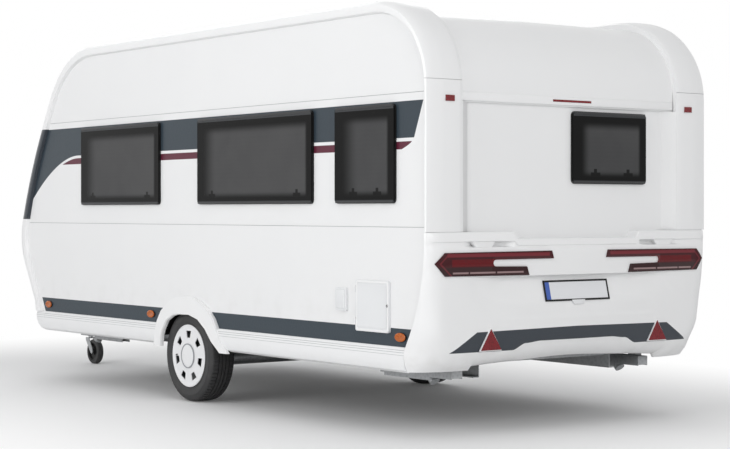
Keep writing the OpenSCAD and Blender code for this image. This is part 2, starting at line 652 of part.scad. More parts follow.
module axle() {
  color(grey) {
    translate([axle_cx + swing_arm, 0, axle_z]) rotate([90, 0, 0])
      cylinder(r = rail_z0 - axle_z, h = 2 * 850, center = true);
    for (s = [0, 1]) mirror([0, s, 0]) {
      translate([axle_cx + swing_arm, 890, axle_z]) rotate([90, 0, 0]) cylinder(r = 55, h = 50);
      translate([axle_cx, 890, tyre_r]) rotate([90, 0, 0]) cylinder(r = 45, h = 50);
      translate([axle_cx, 840, axle_z]) rotate([0, 0, 0]) multmatrix([
        [1, 0, 0, 0], [0, 1, 0, 0],
        [(axle_z - tyre_r) / swing_arm, 0, 1, tyre_r - axle_z - 38], [0, 0, 0, 1]])
        cube([swing_arm, 50, 76]);
      translate([axle_cx, stub_y - seat, tyre_r]) rotate([90, 0, 0])
        cylinder(r = 28, h = stub_y - seat - 880);
    }
  }
}
tube_end = overall_length / 2 - rx - 155; // the draw tube ends inside the coupling head
module overrun_unit() {
  color(grey) {
    translate([rx + 5600, 0, ball_z]) rotate([0, 90, 0]) cylinder(r = 26, h = tube_end - 5600);
    for (x = [5620, 5860]) body_box(x, x + 60, -34, 34, ball_z, floor_bottom);
    translate([0, 0, floor_bottom]) linear_extrude(6) polygon([
      [rx + 5580, 215], [rx + apex_x, 95], [rx + apex_x, -95], [rx + 5580, -215]]);
  }
}
nose_x = overall_length / 2;
ball_x = nose_x - 52;
module coupling_head() {
  color(dark) difference() {
    union() {
      translate([ball_x, 0, ball_z - 20]) cylinder(r = 44, h = 56);
      translate([rx + tube_end + seat, 0, ball_z]) rotate([0, 90, 0])
        cylinder(r = 26, h = ball_x - rx - tube_end);
      translate([ball_x, 0, ball_z]) rotate([0, 90, 0]) cylinder(r = 30, h = 52);
    }
    translate([ball_x, 0, ball_z - 60]) cylinder(r = 60, h = 40);
    translate([ball_x, 0, ball_z - 60]) cylinder(r = 25.3, h = 60);
    translate([ball_x, 0, ball_z]) sphere(r = 25.3);
  }
}
module handbrake_lever() {
  color(dark) {
    body_box(apex_x + 30, apex_x + 110, -34, -26, ball_z - 22, ball_z + 60);
    translate([rx + apex_x + 60, -52, ball_z + 34]) rotate([0, -30, 0]) cube([260, 18, 24]);
  }
}
jockey_y = 193;                           // beside the left arm of the drawbar
jockey_x = rx + 5795;
jockey_tube_z = 320;
// from the tube's axis to the web of the drawbar arm, square to the arm
jockey_reach = (jockey_y - (apex_y + (rx + apex_x - jockey_x) * tan(drawbar_angle))) * cos(drawbar_angle)
  - rail_sheet - seat;
module jockey_tube() {
  color(grey) {
    translate([jockey_x, jockey_y, jockey_tube_z]) difference() {
      cylinder(r = jockey_tube_r, h = 375);
      translate([0, 0, -1]) cylinder(r = jockey_tube_r - 3, h = 365);
    }
    // crank on top
    translate([jockey_x, jockey_y, jockey_tube_z + 370]) cylinder(r = 9, h = 34);
    translate([jockey_x, jockey_y - 9, jockey_tube_z + 394]) cube([110, 18, 10]);
    translate([jockey_x + 100, jockey_y, jockey_tube_z + 396]) cylinder(r1 = 10, r2 = 13, h = 80);
    difference() {
      union() {
        for (z = [rail_z0 + 30, rail_z0 + 84]) translate([jockey_x, jockey_y, z]) {
          cylinder(r = jockey_tube_r + 8, h = 26);
          rotate([0, 0, -drawbar_angle]) translate([-22, -jockey_reach, 0]) cube([44, jockey_reach, 26]);
        }
      }
      translate([jockey_x, jockey_y, 0]) cylinder(r = jockey_tube_r - 0.01, h = 600);
    }
  }
}
jockey_crown = 2 * jockey_r + 6;
module jockey_stem() {
  color(grey) translate([jockey_x, jockey_y, jockey_crown + 8 + seat])
    cylinder(r = jockey_tube_r - 3.5, h = 330);
}
module jockey_fork() {
  side = jockey_w / 2 + 5;
  color(grey) {
    translate([jockey_x, jockey_y, jockey_crown]) cylinder(r = 24, h = 8);
    box(jockey_x - 30, jockey_x + 22, jockey_y - side - 6, jockey_y + side + 6,
        jockey_crown, jockey_crown + 8);
    for (s = [jockey_y - side - 6, jockey_y + side]) translate([jockey_x, s + 6, 0]) rotate([90, 0, 0])
      linear_extrude(6) polygon([
        [-30, jockey_crown + 8], [22, jockey_crown + 8], [22, jockey_crown - 14],
        [-jockey_trail + 18, jockey_r - 8], [-jockey_trail, jockey_r - 18],
        [-jockey_trail - 18, jockey_r - 6], [-jockey_trail - 10, jockey_r + 30]]);
    translate([jockey_x - jockey_trail, jockey_y, jockey_r]) rotate([90, 0, 0])
      cylinder(r = 8, h = 2 * side + 12, center = true);
  }
}
module jockey_wheel() {
  color(dark) translate([jockey_x - jockey_trail, jockey_y, jockey_r]) rotate([90, 0, 0]) difference() {
    cylinder(r = jockey_r, h = jockey_w, center = true);
    cylinder(r = 8.1, h = jockey_w + 2, center = true);
  }
}

// Corner steadies. Each is drawn for the rear left: pivot inboard, foot towards the corner.
steady_pivot_z = 345;
steady_pivot_x = 830;                     // from the rear plane
link_len = 190;
pivot_r = 6;
module at_steady(front, left) {
  x = front ? 4150 : steady_pivot_x;
  mirrored_y(left) translate([rx + x, steady_y, steady_pivot_z]) mirror([front ? 1 : 0, 0, 0]) children();
}
module steady_base() {
  for (s = [-1, 1]) translate([-640, s * 40 - 2.5, -20]) cube([680, 5, 60]);
  translate([-640, -40, 36]) cube([680, 80, 4]);
  translate([-640, -40, -16]) cube([5, 80, 54]);
  for (x = [-600, -30]) translate([x, -30, 40]) cube([60, 60, floor_bottom - steady_pivot_z - 40]);
  translate([-636, 0, 0]) rotate([0, 90, 0]) cylinder(r = 8, h = 600);
  rotate([90, 0, 0]) cylinder(r = pivot_r, h = 80, center = true);
}
module steady_bases() {
  color(grey) for (f = [0, 1], l = [0, 1]) at_steady(f == 1, l == 1) steady_base();
}
module steady_leg_body() {
  difference() {
    union() {
      for (s = [-1, 1]) {
        translate([-steady_leg, s * 31 - 2, -40]) cube([steady_leg + 14, 4, 52]);
        translate([-link_len, s * 24, 0]) rotate([90, 0, 0]) cylinder(r = 5, h = 14, center = true);
      }
      translate([-steady_leg, -31, -40]) cube([steady_leg - 60, 62, 4]);
      translate([-steady_leg, 0, -40]) rotate([0, 40, 0]) cylinder(r = 32, h = 24, center = true);
    }
    rotate([90, 0, 0]) cylinder(r = pivot_r + 0.1, h = 80, center = true);
  }
}
module steady_link_body() {
  for (s = [-1, 1]) {
    difference() {
      translate([-2 * link_len - 12, s * 22 - 2, -10]) cube([link_len + 22, 4, 20]);
      translate([-link_len, s * 22, 0]) rotate([90, 0, 0]) cylinder(r = 5.1, h = 10, center = true);
    }
    translate([-2 * link_len, s * 16, 0]) rotate([90, 0, 0]) cylinder(r = 6, h = 10, center = true);
  }
}
module steady_leg_front_left() { color(grey) at_steady(true, true) steady_leg_body(); }
module steady_leg_front_right() { color(grey) at_steady(true, false) steady_leg_body(); }
module steady_leg_rear_left() { color(grey) at_steady(false, true) steady_leg_body(); }
module steady_leg_rear_right() { color(grey) at_steady(false, false) steady_leg_body(); }
module steady_link_front_left() { color(grey) at_steady(true, true) steady_link_body(); }
module steady_link_front_right() { color(grey) at_steady(true, false) steady_link_body(); }
module steady_link_rear_left() { color(grey) at_steady(false, true) steady_link_body(); }
module steady_link_rear_right() { color(grey) at_steady(false, false) steady_link_body(); }

// Road wheels
// Carcass open towards the rim
module tyre() {
  h = tyre_w / 2;
  half = [
    [190, -h + 36], [190, -h + 22], [200, -h + 14], [rim_r + 6, -h + 10], [250, -h + 2], [272, -h],
    [292, -h + 6], [306, -h + 16], [tyre_r - 2, -h + 34], [tyre_r, -h + 60]
  ];
  inside = [[tyre_r - 15, h - 60], [tyre_r - 18, h - 32], [286, h - 18], [268, h - 11], [240, h - 14],
            [222, h - 24], [206, h - 36]];
  color(dark) translate([axle_cx, tyre_face_y - h, tyre_r]) rotate([90, 0, 0]) rotate_extrude($fn = 96)
    polygon(concat(half, [for (i = [len(half) - 1 : -1 : 0]) [half[i][0], -half[i][1]]],
                   reversed(inside), [for (q = inside) [q[0], -q[1]]]));
}
module tyre_left() { tyre(); }
module tyre_right() { mirror([0, 1, 0]) tyre(); }
cover_slots = 7;
// Cover with seven openings over a dished disc, and the brake drum behind it
module wheel_disc() {
  h = tyre_w / 2;
  drum_end = tyre_face_y - h - stub_y;
  color([0.8, 0.81, 0.82]) translate([axle_cx, tyre_face_y - h, tyre_r]) rotate([90, 0, 0]) difference() {
    rotate_extrude($fn = 96) difference() {
      polygon([
        [0, -h - 6], [52, -h - 6], [76, -h - 3], [82, -h + 2], [120, -h + 4], [188, -h + 6], [206, -h + 2],
        [rim_r, -h + 5], [rim_r, -h + 8], [198, -h + 12], [190, -h + 22], [190, h - 22], [180, h - 22],
        [180, -h + 58], [118, -h + 62], [118, drum_end], [0, drum_end]
      ]);
      polygon([[88, -h + 8], [120, -h + 9], [176, -h + 11], [176, -h + 44], [140, -h + 50], [88, -h + 40]]);
    }
    for (i = [0 : cover_slots - 1]) rotate([0, 0, 90 + i * 360 / cover_slots]) translate([0, 0, -h - 4])
      linear_extrude(24) polygon([[124, -20], [172, -32], [172, 32], [124, 20]]);
  }
}
module wheel_left() { wheel_disc(); }
module wheel_right() { mirror([0, 1, 0]) wheel_disc(); }

// Doors and lids; a hinge's barrels share their axis, fixed and moving ones in turn
door_edge = door_x + door_w - door_gap;
door_hinges = [760, 1380, 2000];
hinge_r = 5.5;
hinge_out = 12;                           // axis of the door's hinges outside the wall
barrel = 36;
module door_barrel(z) {
  translate([rx + door_edge, wall_y + hinge_out, z]) cylinder(r = hinge_r, h = barrel, $fn = 32);
}
module door_hinges_fixed() {
  for (z = door_hinges) {
    difference() {
      union() {
        door_barrel(z);
        body_box(door_edge, door_edge + 34, wall_y + 8, wall_y + 12, z, z + barrel);
        body_box(door_edge + 10, door_edge + 34, wall_y - 1, wall_y + 12, z, z + barrel);
      }
    }
  }
}
module door_hinges_moving() {
  for (z = door_hinges) {
    door_barrel(z + barrel + seat);
    body_box(door_edge - 34, door_edge, wall_y + 5, wall_y + 10, z + barrel + seat, z + 2 * barrel + seat);
  }
}
module entrance_door() {
  color(white) mirror([0, 1, 0]) {
    door_panel();
    door_hinges_moving();
    plate_xz(rx + door_x + 24, rx + door_x + 74, 1180, 1330, 16, wall_y + 5, wall_y + 14);
    plate_xz(rx + door_x + 34, rx + door_x + 64, 1196, 1310, 12, wall_y + 13, wall_y + 26);
  }
}
module door_panel() {
  difference() {
    plate_xz(rx + door_x + door_gap, rx + door_x + door_w - door_gap, door_z + door_gap,
             door_z + door_h - door_gap, 56, in_y, wall_y + 6);
    plate_xz(rx + door_x + 140, rx + door_x + door_w - 140, 1330, 1880, 40, in_y - 1, wall_y + 10);
  }
}
module door_window() {
  color(dark) mirror([0, 1, 0])
    plate_xz(rx + door_x + 140, rx + door_x + door_w - 140, 1330, 1880, 40, in_y + 4, wall_y + 10);
}
hatch_hinges = [640, 830];
module hatch_barrel(z, h) { translate([rx + hatch_x[1], wall_y + 16, z]) cylinder(r = 4, h = h, $fn = 24); }
module hatch_hinges_fixed() {
  for (z = hatch_hinges) {
    hatch_barrel(z + 20 + seat, 20);
    body_box(hatch_x[1], hatch_x[1] + 14, wall_y + 13, wall_y + 19, z + 20 + seat, z + 40 + seat);
    body_box(hatch_x[1] + 3, hatch_x[1] + 14, wall_y - 1, wall_y + 19, z + 20 + seat, z + 40 + seat);
  }
}
module cassette_hatch() {
  color(white) {
    difference() {
      plate_xz(rx + hatch_x[0], rx + hatch_x[1], hatch_z[0], hatch_z[1], 14, wall_y + seat, wall_y + 16);
      for (z = hatch_hinges)
        body_box(hatch_x[1] - 6, hatch_x[1] + 1, wall_y + 9, wall_y + 17, z + 20, z + 41);
    }
    for (z = hatch_hinges) hatch_barrel(z, 20);
  }
}
lid_axis = [5212, 1128];
lid_hinges = [-520, 0, 520];
module lid_knuckle(y, arm) {
  translate([rx + lid_axis[0], y + barrel, lid_axis[1]]) rotate([90, 0, 0])
    cylinder(r = 8, h = barrel, $fn = 32);
  profile(arm, y, y + barrel);
}
module locker_lid() {
  color(white) {
    intersection() {
      profile(concat(path_nose, reversed(inset(path_nose, 24))), -locker_y + door_gap, locker_y - door_gap);
      body_box(4700, 5400, -locker_y, locker_y, locker_z[0] + door_gap, locker_z[1] - door_gap);
    }
    for (y = lid_hinges)
      lid_knuckle(y + seat, [[5170, 1084], [5184, 1084], [5216, 1124], [5210, 1132], [5172, 1112]]);
  }
}

floor_panel();
side_wall_left();
side_wall_right();
roof_panel();
front_wall();
rear_wall();
edge_moulding_left();
edge_moulding_right();
rear_top_moulding();
rear_bumper();
skirt_left();
skirt_right();
wheel_arch_left();
wheel_arch_right();
wheel_housings();
window_frames_left();
window_panes_left();
window_frames_right();
window_panes_right();
window_frames_ends();
window_panes_ends();
window_blinds();
tail_light_left();
tail_light_right();
marker_lamps();
side_markers();
reflector_triangles();
number_plate();
roof_hatches();
side_vents();
gas_locker_bulkhead();
chassis_left();
chassis_right();
cross_members();
axle();
overrun_unit();
coupling_head();
handbrake_lever();
jockey_tube();
steady_bases();
tyre_left();
tyre_right();
wheel_left();
wheel_right();
entrance_door();
door_window();
cassette_hatch();
locker_lid();
steady_leg_front_left();
steady_leg_front_right();
steady_leg_rear_left();
steady_leg_rear_right();
steady_link_front_left();
steady_link_front_right();
steady_link_rear_left();
steady_link_rear_right();
jockey_stem();
jockey_fork();
jockey_wheel();
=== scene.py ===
import json
import math

import bmesh
import bpy
from mathutils import Matrix, Vector

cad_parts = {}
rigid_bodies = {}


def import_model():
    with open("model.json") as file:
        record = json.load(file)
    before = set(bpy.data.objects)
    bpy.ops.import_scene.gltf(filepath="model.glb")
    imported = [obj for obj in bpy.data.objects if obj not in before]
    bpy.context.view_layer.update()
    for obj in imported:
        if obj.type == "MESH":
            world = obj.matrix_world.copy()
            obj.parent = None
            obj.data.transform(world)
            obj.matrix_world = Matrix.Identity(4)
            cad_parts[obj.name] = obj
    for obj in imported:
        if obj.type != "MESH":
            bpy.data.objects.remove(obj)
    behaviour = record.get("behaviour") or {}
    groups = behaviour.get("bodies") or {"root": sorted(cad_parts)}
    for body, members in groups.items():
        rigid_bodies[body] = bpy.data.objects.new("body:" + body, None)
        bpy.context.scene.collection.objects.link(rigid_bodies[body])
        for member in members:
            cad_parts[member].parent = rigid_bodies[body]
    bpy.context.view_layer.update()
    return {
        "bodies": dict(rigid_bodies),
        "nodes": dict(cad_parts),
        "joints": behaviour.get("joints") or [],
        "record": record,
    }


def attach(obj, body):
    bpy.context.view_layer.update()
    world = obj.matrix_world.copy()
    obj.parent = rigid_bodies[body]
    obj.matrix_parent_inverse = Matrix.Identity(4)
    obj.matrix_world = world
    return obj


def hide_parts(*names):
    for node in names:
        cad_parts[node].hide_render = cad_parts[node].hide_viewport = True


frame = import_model()
nodes = frame["nodes"]
print("frame loaded:", len(nodes), "nodes")

# the body's own measures in the shared frame, metres
body = {"rearX": -3.150, "wallY": 1.122, "halfWidth": 1.150, "tyreRadius": 0.315}
rearX = body["rearX"]


def along(x):
    return rearX + x


# shader helper
class Wire:
    def __init__(self, shader, socket):
        self.shader = shader
        self.socket = socket

    def maths(self, operation, *others):
        return self.shader.node("ShaderNodeMath", {"operation": operation}, [self, *others])

    def __add__(self, other):
        return self.maths("ADD", other)

    def __radd__(self, other):
        return self.maths("ADD", other)

    def __sub__(self, other):
        return self.maths("SUBTRACT", other)

    def __rsub__(self, other):
        return self.shader.node("ShaderNodeMath", {"operation": "SUBTRACT"}, [other, self])

    def __mul__(self, other):
        return self.maths("MULTIPLY", other)

    def __rmul__(self, other):
        return self.maths("MULTIPLY", other)

    def __truediv__(self, other):
        return self.maths("DIVIDE", other)

    def __pow__(self, other):
        return self.maths("POWER", other)

    def ramp(self, low, high):
        # 0 below low, 1 above high, smooth between
        return self.shader.node(
            "ShaderNodeMapRange", {"interpolation_type": "SMOOTHSTEP"},
            {"Value": self, "From Min": low, "From Max": high, "To Min": 0.0, "To Max": 1.0})

    def band(self, low, high, soft=0.0008):
        return self.ramp(low - soft, low + soft) * (1 - self.ramp(high - soft, high + soft))


class Shader:
    def __init__(self, name, colour, rough=0.5, metal=0.0, coat=0.0, coatRough=0.1, shine=0.5):
        self.material = bpy.data.materials.new(name)
        self.material.use_nodes = True
        self.tree = self.material.node_tree
        self.tree.nodes.clear()
        self.surface = self.tree.nodes.new("ShaderNodeBsdfPrincipled")
        out = self.tree.nodes.new("ShaderNodeOutputMaterial")
        self.tree.links.new(self.surface.outputs[0], out.inputs[0])
        self.put("Base Color", (*colour, 1.0))
        self.put("Roughness", rough)
        self.put("Metallic", metal)
        self.put("Coat Weight", coat)
        self.put("Coat Roughness", coatRough)
        self.put("Specular IOR Level", shine)
        self.place = None

    def node(self, kind, settings=None, inputs=None, output=0):
        made = self.tree.nodes.new(kind)
        for key, value in (settings or {}).items():
            if key == "stops":
                ramp = made.color_ramp
                while len(ramp.elements) < len(value):
                    ramp.elements.new(0.5)
                for element, (at, colour) in zip(ramp.elements, value):
                    element.position = at
                    element.color = colour
            else:
                setattr(made, key, value)
        pairs = inputs.items() if isinstance(inputs, dict) else enumerate(inputs or [])
        for key, value in pairs:
            if value is None:
                continue
            if isinstance(value, Wire):
                self.tree.links.new(value.socket, made.inputs[key])
            else:
                made.inputs[key].default_value = value
        return Wire(self, made.outputs[output])

    def put(self, socket, value):
        if isinstance(value, Wire):
            self.tree.links.new(value.socket, self.surface.inputs[socket])
        else:
            self.surface.inputs[socket].default_value = value

    def coords(self):
        if self.place is None:
            self.place = self.node("ShaderNodeTexCoord", output=3)
        return self.place

    def xyz(self):
        split = self.tree.nodes.new("ShaderNodeSeparateXYZ")
        self.tree.links.new(self.coords().socket, split.inputs[0])
        return [Wire(self, socket) for socket in split.outputs]

    def noise(self, scale, detail=2.0, rough=0.5, stretch=None):
        place = self.coords()
        if stretch:
            place = self.node("ShaderNodeMapping", None, {"Vector": place, "Scale": stretch})
        return self.node("ShaderNodeTexNoise", None,
                         {"Vector": place, "Scale": scale, "Detail": detail, "Roughness": rough})

    def mix(self, factor, first, second):
        made = self.tree.nodes.new("ShaderNodeMix")
        made.data_type = "RGBA"
        for index, value in ((0, factor), (6, first), (7, second)):
            if isinstance(value, Wire):
                self.tree.links.new(value.socket, made.inputs[index])
            elif index == 0:
                made.inputs[0].default_value = value
            else:
                made.inputs[index].default_value = (*value, 1.0)
        return Wire(self, made.outputs[2])

    def bump(self, height, distance, strength=1.0):
        normal = self.node("ShaderNodeBump", None,
                           {"Height": height, "Distance": distance, "Strength": strength})
        self.put("Normal", normal)


# materials
# the seam colour darkens the real joints, and also stands for painted shade in the skirt's grooves
paint = {
    "white": (0.82, 0.822, 0.824), "moulding": (0.84, 0.842, 0.844), "stripeBlue": (0.029, 0.043, 0.056),
    "stripeRed": (0.100, 0.011, 0.029), "seam": (0.22, 0.23, 0.24), "grime": (0.42, 0.40, 0.36),
    "anthracite": (0.032, 0.040, 0.051), "shade": (0.72, 0.735, 0.75),
}


def plainPlastic(name, colour, rough=0.4, grain=0.0002, grainScale=900.0, coat=0.0, spread=0.06, shine=0.4):
    shader = Shader(name, colour, rough, coat=coat, shine=shine)
    fine = shader.noise(grainScale, 3.0)
    broad = shader.noise(3.0, 3.0)
    shader.put("Base Color", shader.mix(broad.ramp(0.35, 0.7) * spread, colour, [c * 0.6 for c in colour]))
    shader.put("Roughness", rough + (broad - 0.5) * 0.12)
    shader.bump(fine, grain, 0.5)
    return shader.material


def sheetMaterial():
    # hammered aluminium sheet with painted bands, side walls, door and hatch
    shader = Shader("bodySheet", paint["white"], 0.34, coat=0.08, shine=0.32)
    x, y, z = shader.xyz()
    x = x - rearX
    dents = shader.node("ShaderNodeTexVoronoi", {"feature": "SMOOTH_F1"},
                        {"Vector": shader.coords(), "Scale": 70.0, "Smoothness": 0.8})
    waves = shader.noise(1.6, 2.0, 0.5, (1.0, 1.0, 0.25))
    # long bands: the front sweeps down, the rear is cut on a slant
    sweep = (x - 4.25).maths("MAXIMUM", 0.0) / 0.76
    low = 1.730 - (sweep ** 1.8) * 0.33
    rearCut = x - (1.942 - z) * 0.40
    blue = (z - low).ramp(-0.001, 0.001) * (1 - z.ramp(1.941, 1.943)) * rearCut.ramp(0.063, 0.065)
    redTop = (low - 0.020).maths("MINIMUM", 1.710)
    red = z.ramp(1.664, 1.666) * (1 - (z - redTop).ramp(-0.001, 0.001))
    redRear = x - (1.711 - z).maths("MAXIMUM", 0.0) ** 1.4 * 7.2
    red = red * redRear.ramp(0.167, 0.170)
    bottom = z.band(0.526, 0.632) * (x - (0.637 - z) * 0.68).ramp(0.134, 0.138)
    bottom = bottom * (1 - (x - (z - 0.5) * 0.55).ramp(4.772, 4.776))
    seams = (z.band(1.2155, 1.2185) + z.band(1.9875, 1.9905)).maths("MINIMUM", 1.0)
    grime = (1 - z.ramp(0.5, 0.95)) * shader.noise(9.0, 4.0).ramp(0.45, 0.75)
    colour = shader.mix(grime * 0.10, paint["white"], paint["grime"])
    colour = shader.mix(waves.ramp(0.3, 0.7) * 0.10, colour, paint["shade"])
    colour = shader.mix(blue, colour, paint["stripeBlue"])
    colour = shader.mix(red, colour, paint["stripeRed"])
    colour = shader.mix(bottom, colour, paint["stripeBlue"])
    colour = shader.mix(seams * 0.8, colour, paint["seam"])
    shader.put("Base Color", colour)
    shader.put("Roughness", 0.32 + dents * 0.12)
    shader.bump(dents * 0.35 + waves * 1.5 - seams * 1.5, 0.0012, 0.6)
    return shader.material


def glossBase(shader):
    streaks = shader.noise(3.0, 3.0, 0.5, (1.0, 1.0, 0.3))
    colour = shader.mix(streaks.ramp(0.3, 0.8) * 0.06, paint["moulding"], (0.70, 0.71, 0.72))
    shader.put("Roughness", 0.28 + streaks * 0.08)
    return colour


def mouldingMaterial():
    # gloss white moulded plastic: joint across the pillars, their creases, dark film on the front corners
    shader = Shader("bodyMoulding", paint["moulding"], 0.28, coat=0.12, shine=0.4)
    x, y, z = shader.xyz()
    x = x - rearX
    side = y.maths("ABSOLUTE")
    colour = glossBase(shader)
    joint = z.band(2.0588, 2.0608) * (1 - x.ramp(0.30, 0.31)) * side.ramp(0.884, 0.886)
    rise = z - 1.2
    front = 5.075 - rise * 0.31 - rise * rise * 0.205
    film = (x - front).ramp(-0.062, -0.059) * z.band(1.245, 1.945)
    colour = shader.mix(film, colour, paint["anthracite"])
    shader.put("Base Color", shader.mix(joint * 0.7, colour, paint["seam"]))
    crease = side.ramp(1.020, 1.120) * 0.6 - side.ramp(0.880, 0.905) * 0.4
    shader.bump(shader.noise(25.0, 2.0) * 0.004 - joint * 0.25 - crease, 0.010, 1.0)
    return shader.material


def rearPanelMaterial():
    # rear wall and roof panel: the surface slopes up to the mouldings along both edges
    shader = Shader("rearPanel", paint["moulding"], 0.30, coat=0.10, shine=0.4)
    x, y, z = shader.xyz()
    side = y.maths("ABSOLUTE")
    shader.put("Base Color", glossBase(shader))
    shader.bump(side.ramp(0.765, 0.905) + shader.noise(25.0, 2.0) * 0.002, 0.036, 1.0)
    return shader.material


def bumperMaterial():
    # gloss moulding with the dark band across its lower part
    band = {"top": 0.621, "endY": 0.950, "endSlope": 0.610}
    shader = Shader("bumperMoulding", paint["moulding"], 0.22, coat=0.2, shine=0.4)
    x, y, z = shader.xyz()
    side = y.maths("ABSOLUTE")
    top = ((band["endY"] - side) * band["endSlope"] + 0.509).maths("MINIMUM", band["top"] - side * 0.012)
    low = 0.496 + side.ramp(0.509, 0.407) * 0.037 + side.ramp(0.407, 0.287) * 0.010
    dark = (z - low).ramp(-0.0008, 0.0008) * (top - z).ramp(-0.0008, 0.0008)
    grime = (1 - z.ramp(0.38, 0.6)) * shader.noise(11.0, 4.0).ramp(0.45, 0.8)
    colour = shader.mix(grime * 0.15, glossBase(shader), paint["grime"])
    shader.put("Base Color", shader.mix(dark, colour, paint["anthracite"]))
    shader.bump(shader.noise(25.0, 2.0) * 0.1 - dark * 2.0, 0.0006, 0.6)
    return shader.material


def skirtMaterial():
    # painted aluminium with pressed grooves along it, with painted shade darkening the grooves
    shader = Shader("skirtAluminium", (0.83, 0.835, 0.84), 0.32, coat=0.1, shine=0.35)
    x, y, z = shader.xyz()
    grooves = z.band(0.5075, 0.5105) + z.band(0.4945, 0.4975) + z.band(0.4790, 0.4815)
    dust = (1 - z.ramp(0.37, 0.47)) * shader.noise(7.0, 5.0).ramp(0.4, 0.8)
    colour = shader.mix(dust * 0.15, (0.83, 0.835, 0.84), paint["grime"])
    # painted shade: the grooves are darkened in colour as well as pressed in by the bump
    shader.put("Base Color", shader.mix(grooves * 0.55, colour, paint["seam"]))
    shader.put("Roughness", 0.3 + shader.noise(4.0) * 0.12)
    shader.bump(shader.noise(30.0, 2.0) * 0.3 - grooves * 3.0, 0.0008, 0.5)
    return shader.material


def noseMaterial():
    # as the moulding, with the dark band round the front window and a dark foot
    shader = Shader("noseMoulding", paint["moulding"], 0.28, coat=0.12, shine=0.4)
    x, y, z = shader.xyz()
    dark = z.band(1.222, 1.946) * (x - rearX).ramp(4.60, 4.61)
    foot = z.band(0.498, 0.612)
    colour = shader.mix((dark + foot).maths("MINIMUM", 1.0), glossBase(shader), paint["anthracite"])
    shader.put("Base Color", colour)
    shader.bump(shader.noise(25.0, 2.0), 0.00005, 0.5)
    return shader.material


def wheelMaterial():
    # white cover, dark dished steel behind its openings
    shader = Shader("wheelCover", (0.80, 0.80, 0.81), 0.28, coat=0.15)
    x, y, z = shader.xyz()
    cover = y.maths("ABSOLUTE").ramp(1.0930, 1.0936)
    grain = shader.noise(40.0, 3.0)
    steel = shader.mix(grain.ramp(0.4, 0.7), (0.030, 0.031, 0.033), (0.060, 0.062, 0.064))
    shader.put("Base Color", shader.mix(cover, steel, (0.80, 0.80, 0.81)))
    shader.put("Roughness", 0.24 + grain * 0.12)
    shader.bump(grain, 0.0001, 0.4)
    return shader.material


def paneMaterial(name, openings, axis="x"):
    # smoked acrylic: black printed border with painted shade darkening the inside beyond it, most towards one end, the
    # drawn blind grey behind it, latches dark at the edges, and a painted highlight along the top and bottom lips
    edge = {"border": 0.048, "fade": 0.20 if axis == "x" else 0.10, "tint": (0.072, 0.072, 0.073), "borderAndShadeColour": (0.006, 0.006, 0.006)}
    shader = Shader(name, edge["tint"], 0.10, coat=0.0, shine=0.08)
    x, y, z = shader.xyz()
    along = x - rearX if axis == "x" else y
    inner = latches = rim = None
    for low, high, bottom, top in openings:
        # painted shade: the inside is light only away from the edges, and fades to near black towards one end
        body = along.ramp(low + edge["border"], low + edge["border"] + 0.03)
        body = body * (1 - along.ramp(high - edge["border"] - edge["fade"], high - edge["border"] * 1.4))
        body = body * z.ramp(bottom + 0.040, bottom + 0.085) * (1 - z.ramp(top - 0.120, top - 0.060))
        end = 1.0
        if axis == "y":
            end = x.ramp(-0.5, 0.5) if high > 0.5 else 1 - x.ramp(-0.5, 0.5)
        body = body * end
        inner = body if inner is None else inner + body
        for centre in (low + 0.16, high - 0.19):
            latch = along.band(centre - 0.040, centre + 0.040, 0.003) * z.band(bottom + 0.048, bottom + 0.070, 0.003)
            latch = latch + along.band(centre - 0.012, centre + 0.014, 0.003) * z.band(bottom + 0.070, bottom + 0.092, 0.003)
            latches = latch * end if latches is None else latches + latch * end
        strip = z.band(bottom + 0.002, bottom + 0.020, 0.002) + z.band(top - 0.028, top - 0.003, 0.002)
        strip = strip * along.band(low + 0.006, high - 0.006, 0.003) * end
        rim = strip if rim is None else rim + strip
    cloud = shader.noise(2.2, 3.0)
    pleats = shader.node("ShaderNodeTexWave", {"wave_type": "BANDS", "bands_direction": "Z"},
                         {"Vector": shader.coords(), "Scale": 11.0, "Distortion": 0.3})
    glass = shader.mix(cloud.ramp(0.3, 0.75) * 0.45 + pleats * 0.05, edge["tint"], (0.046, 0.047, 0.049))
    # outside the light inside, the printed border and the painted shade share one near-black colour
    colour = shader.mix(inner, edge["borderAndShadeColour"], glass)
    colour = shader.mix(latches.maths("MINIMUM", 1.0) * 0.9, colour, (0.006, 0.006, 0.006))
    # painted highlight: the lips along the top and bottom are lighter in colour
    colour = shader.mix(rim * 0.75, colour, (0.075, 0.078, 0.082))
    shader.put("Base Color", colour)
    shader.put("Roughness", 0.08 + cloud * 0.06)
    shader.bump(rim * 1.0 - shader.noise(0.9, 1.0) * 2.0, 0.0012, 0.35)
    return shader.material


def lensMaterial(name, colour, cells=130.0):
    shader = Shader(name, colour, 0.16, coat=0.2, coatRough=0.04, shine=0.3)
    ribs = shader.node("ShaderNodeTexVoronoi", {"feature": "F1"},
                       {"Vector": shader.coords(), "Scale": cells})
    shader.put("Base Color", shader.mix(ribs.ramp(0.0, 0.9) * 0.6, colour, [c * 0.35 for c in colour]))
    shader.bump(ribs, 0.0010, 0.5)
    return shader.material


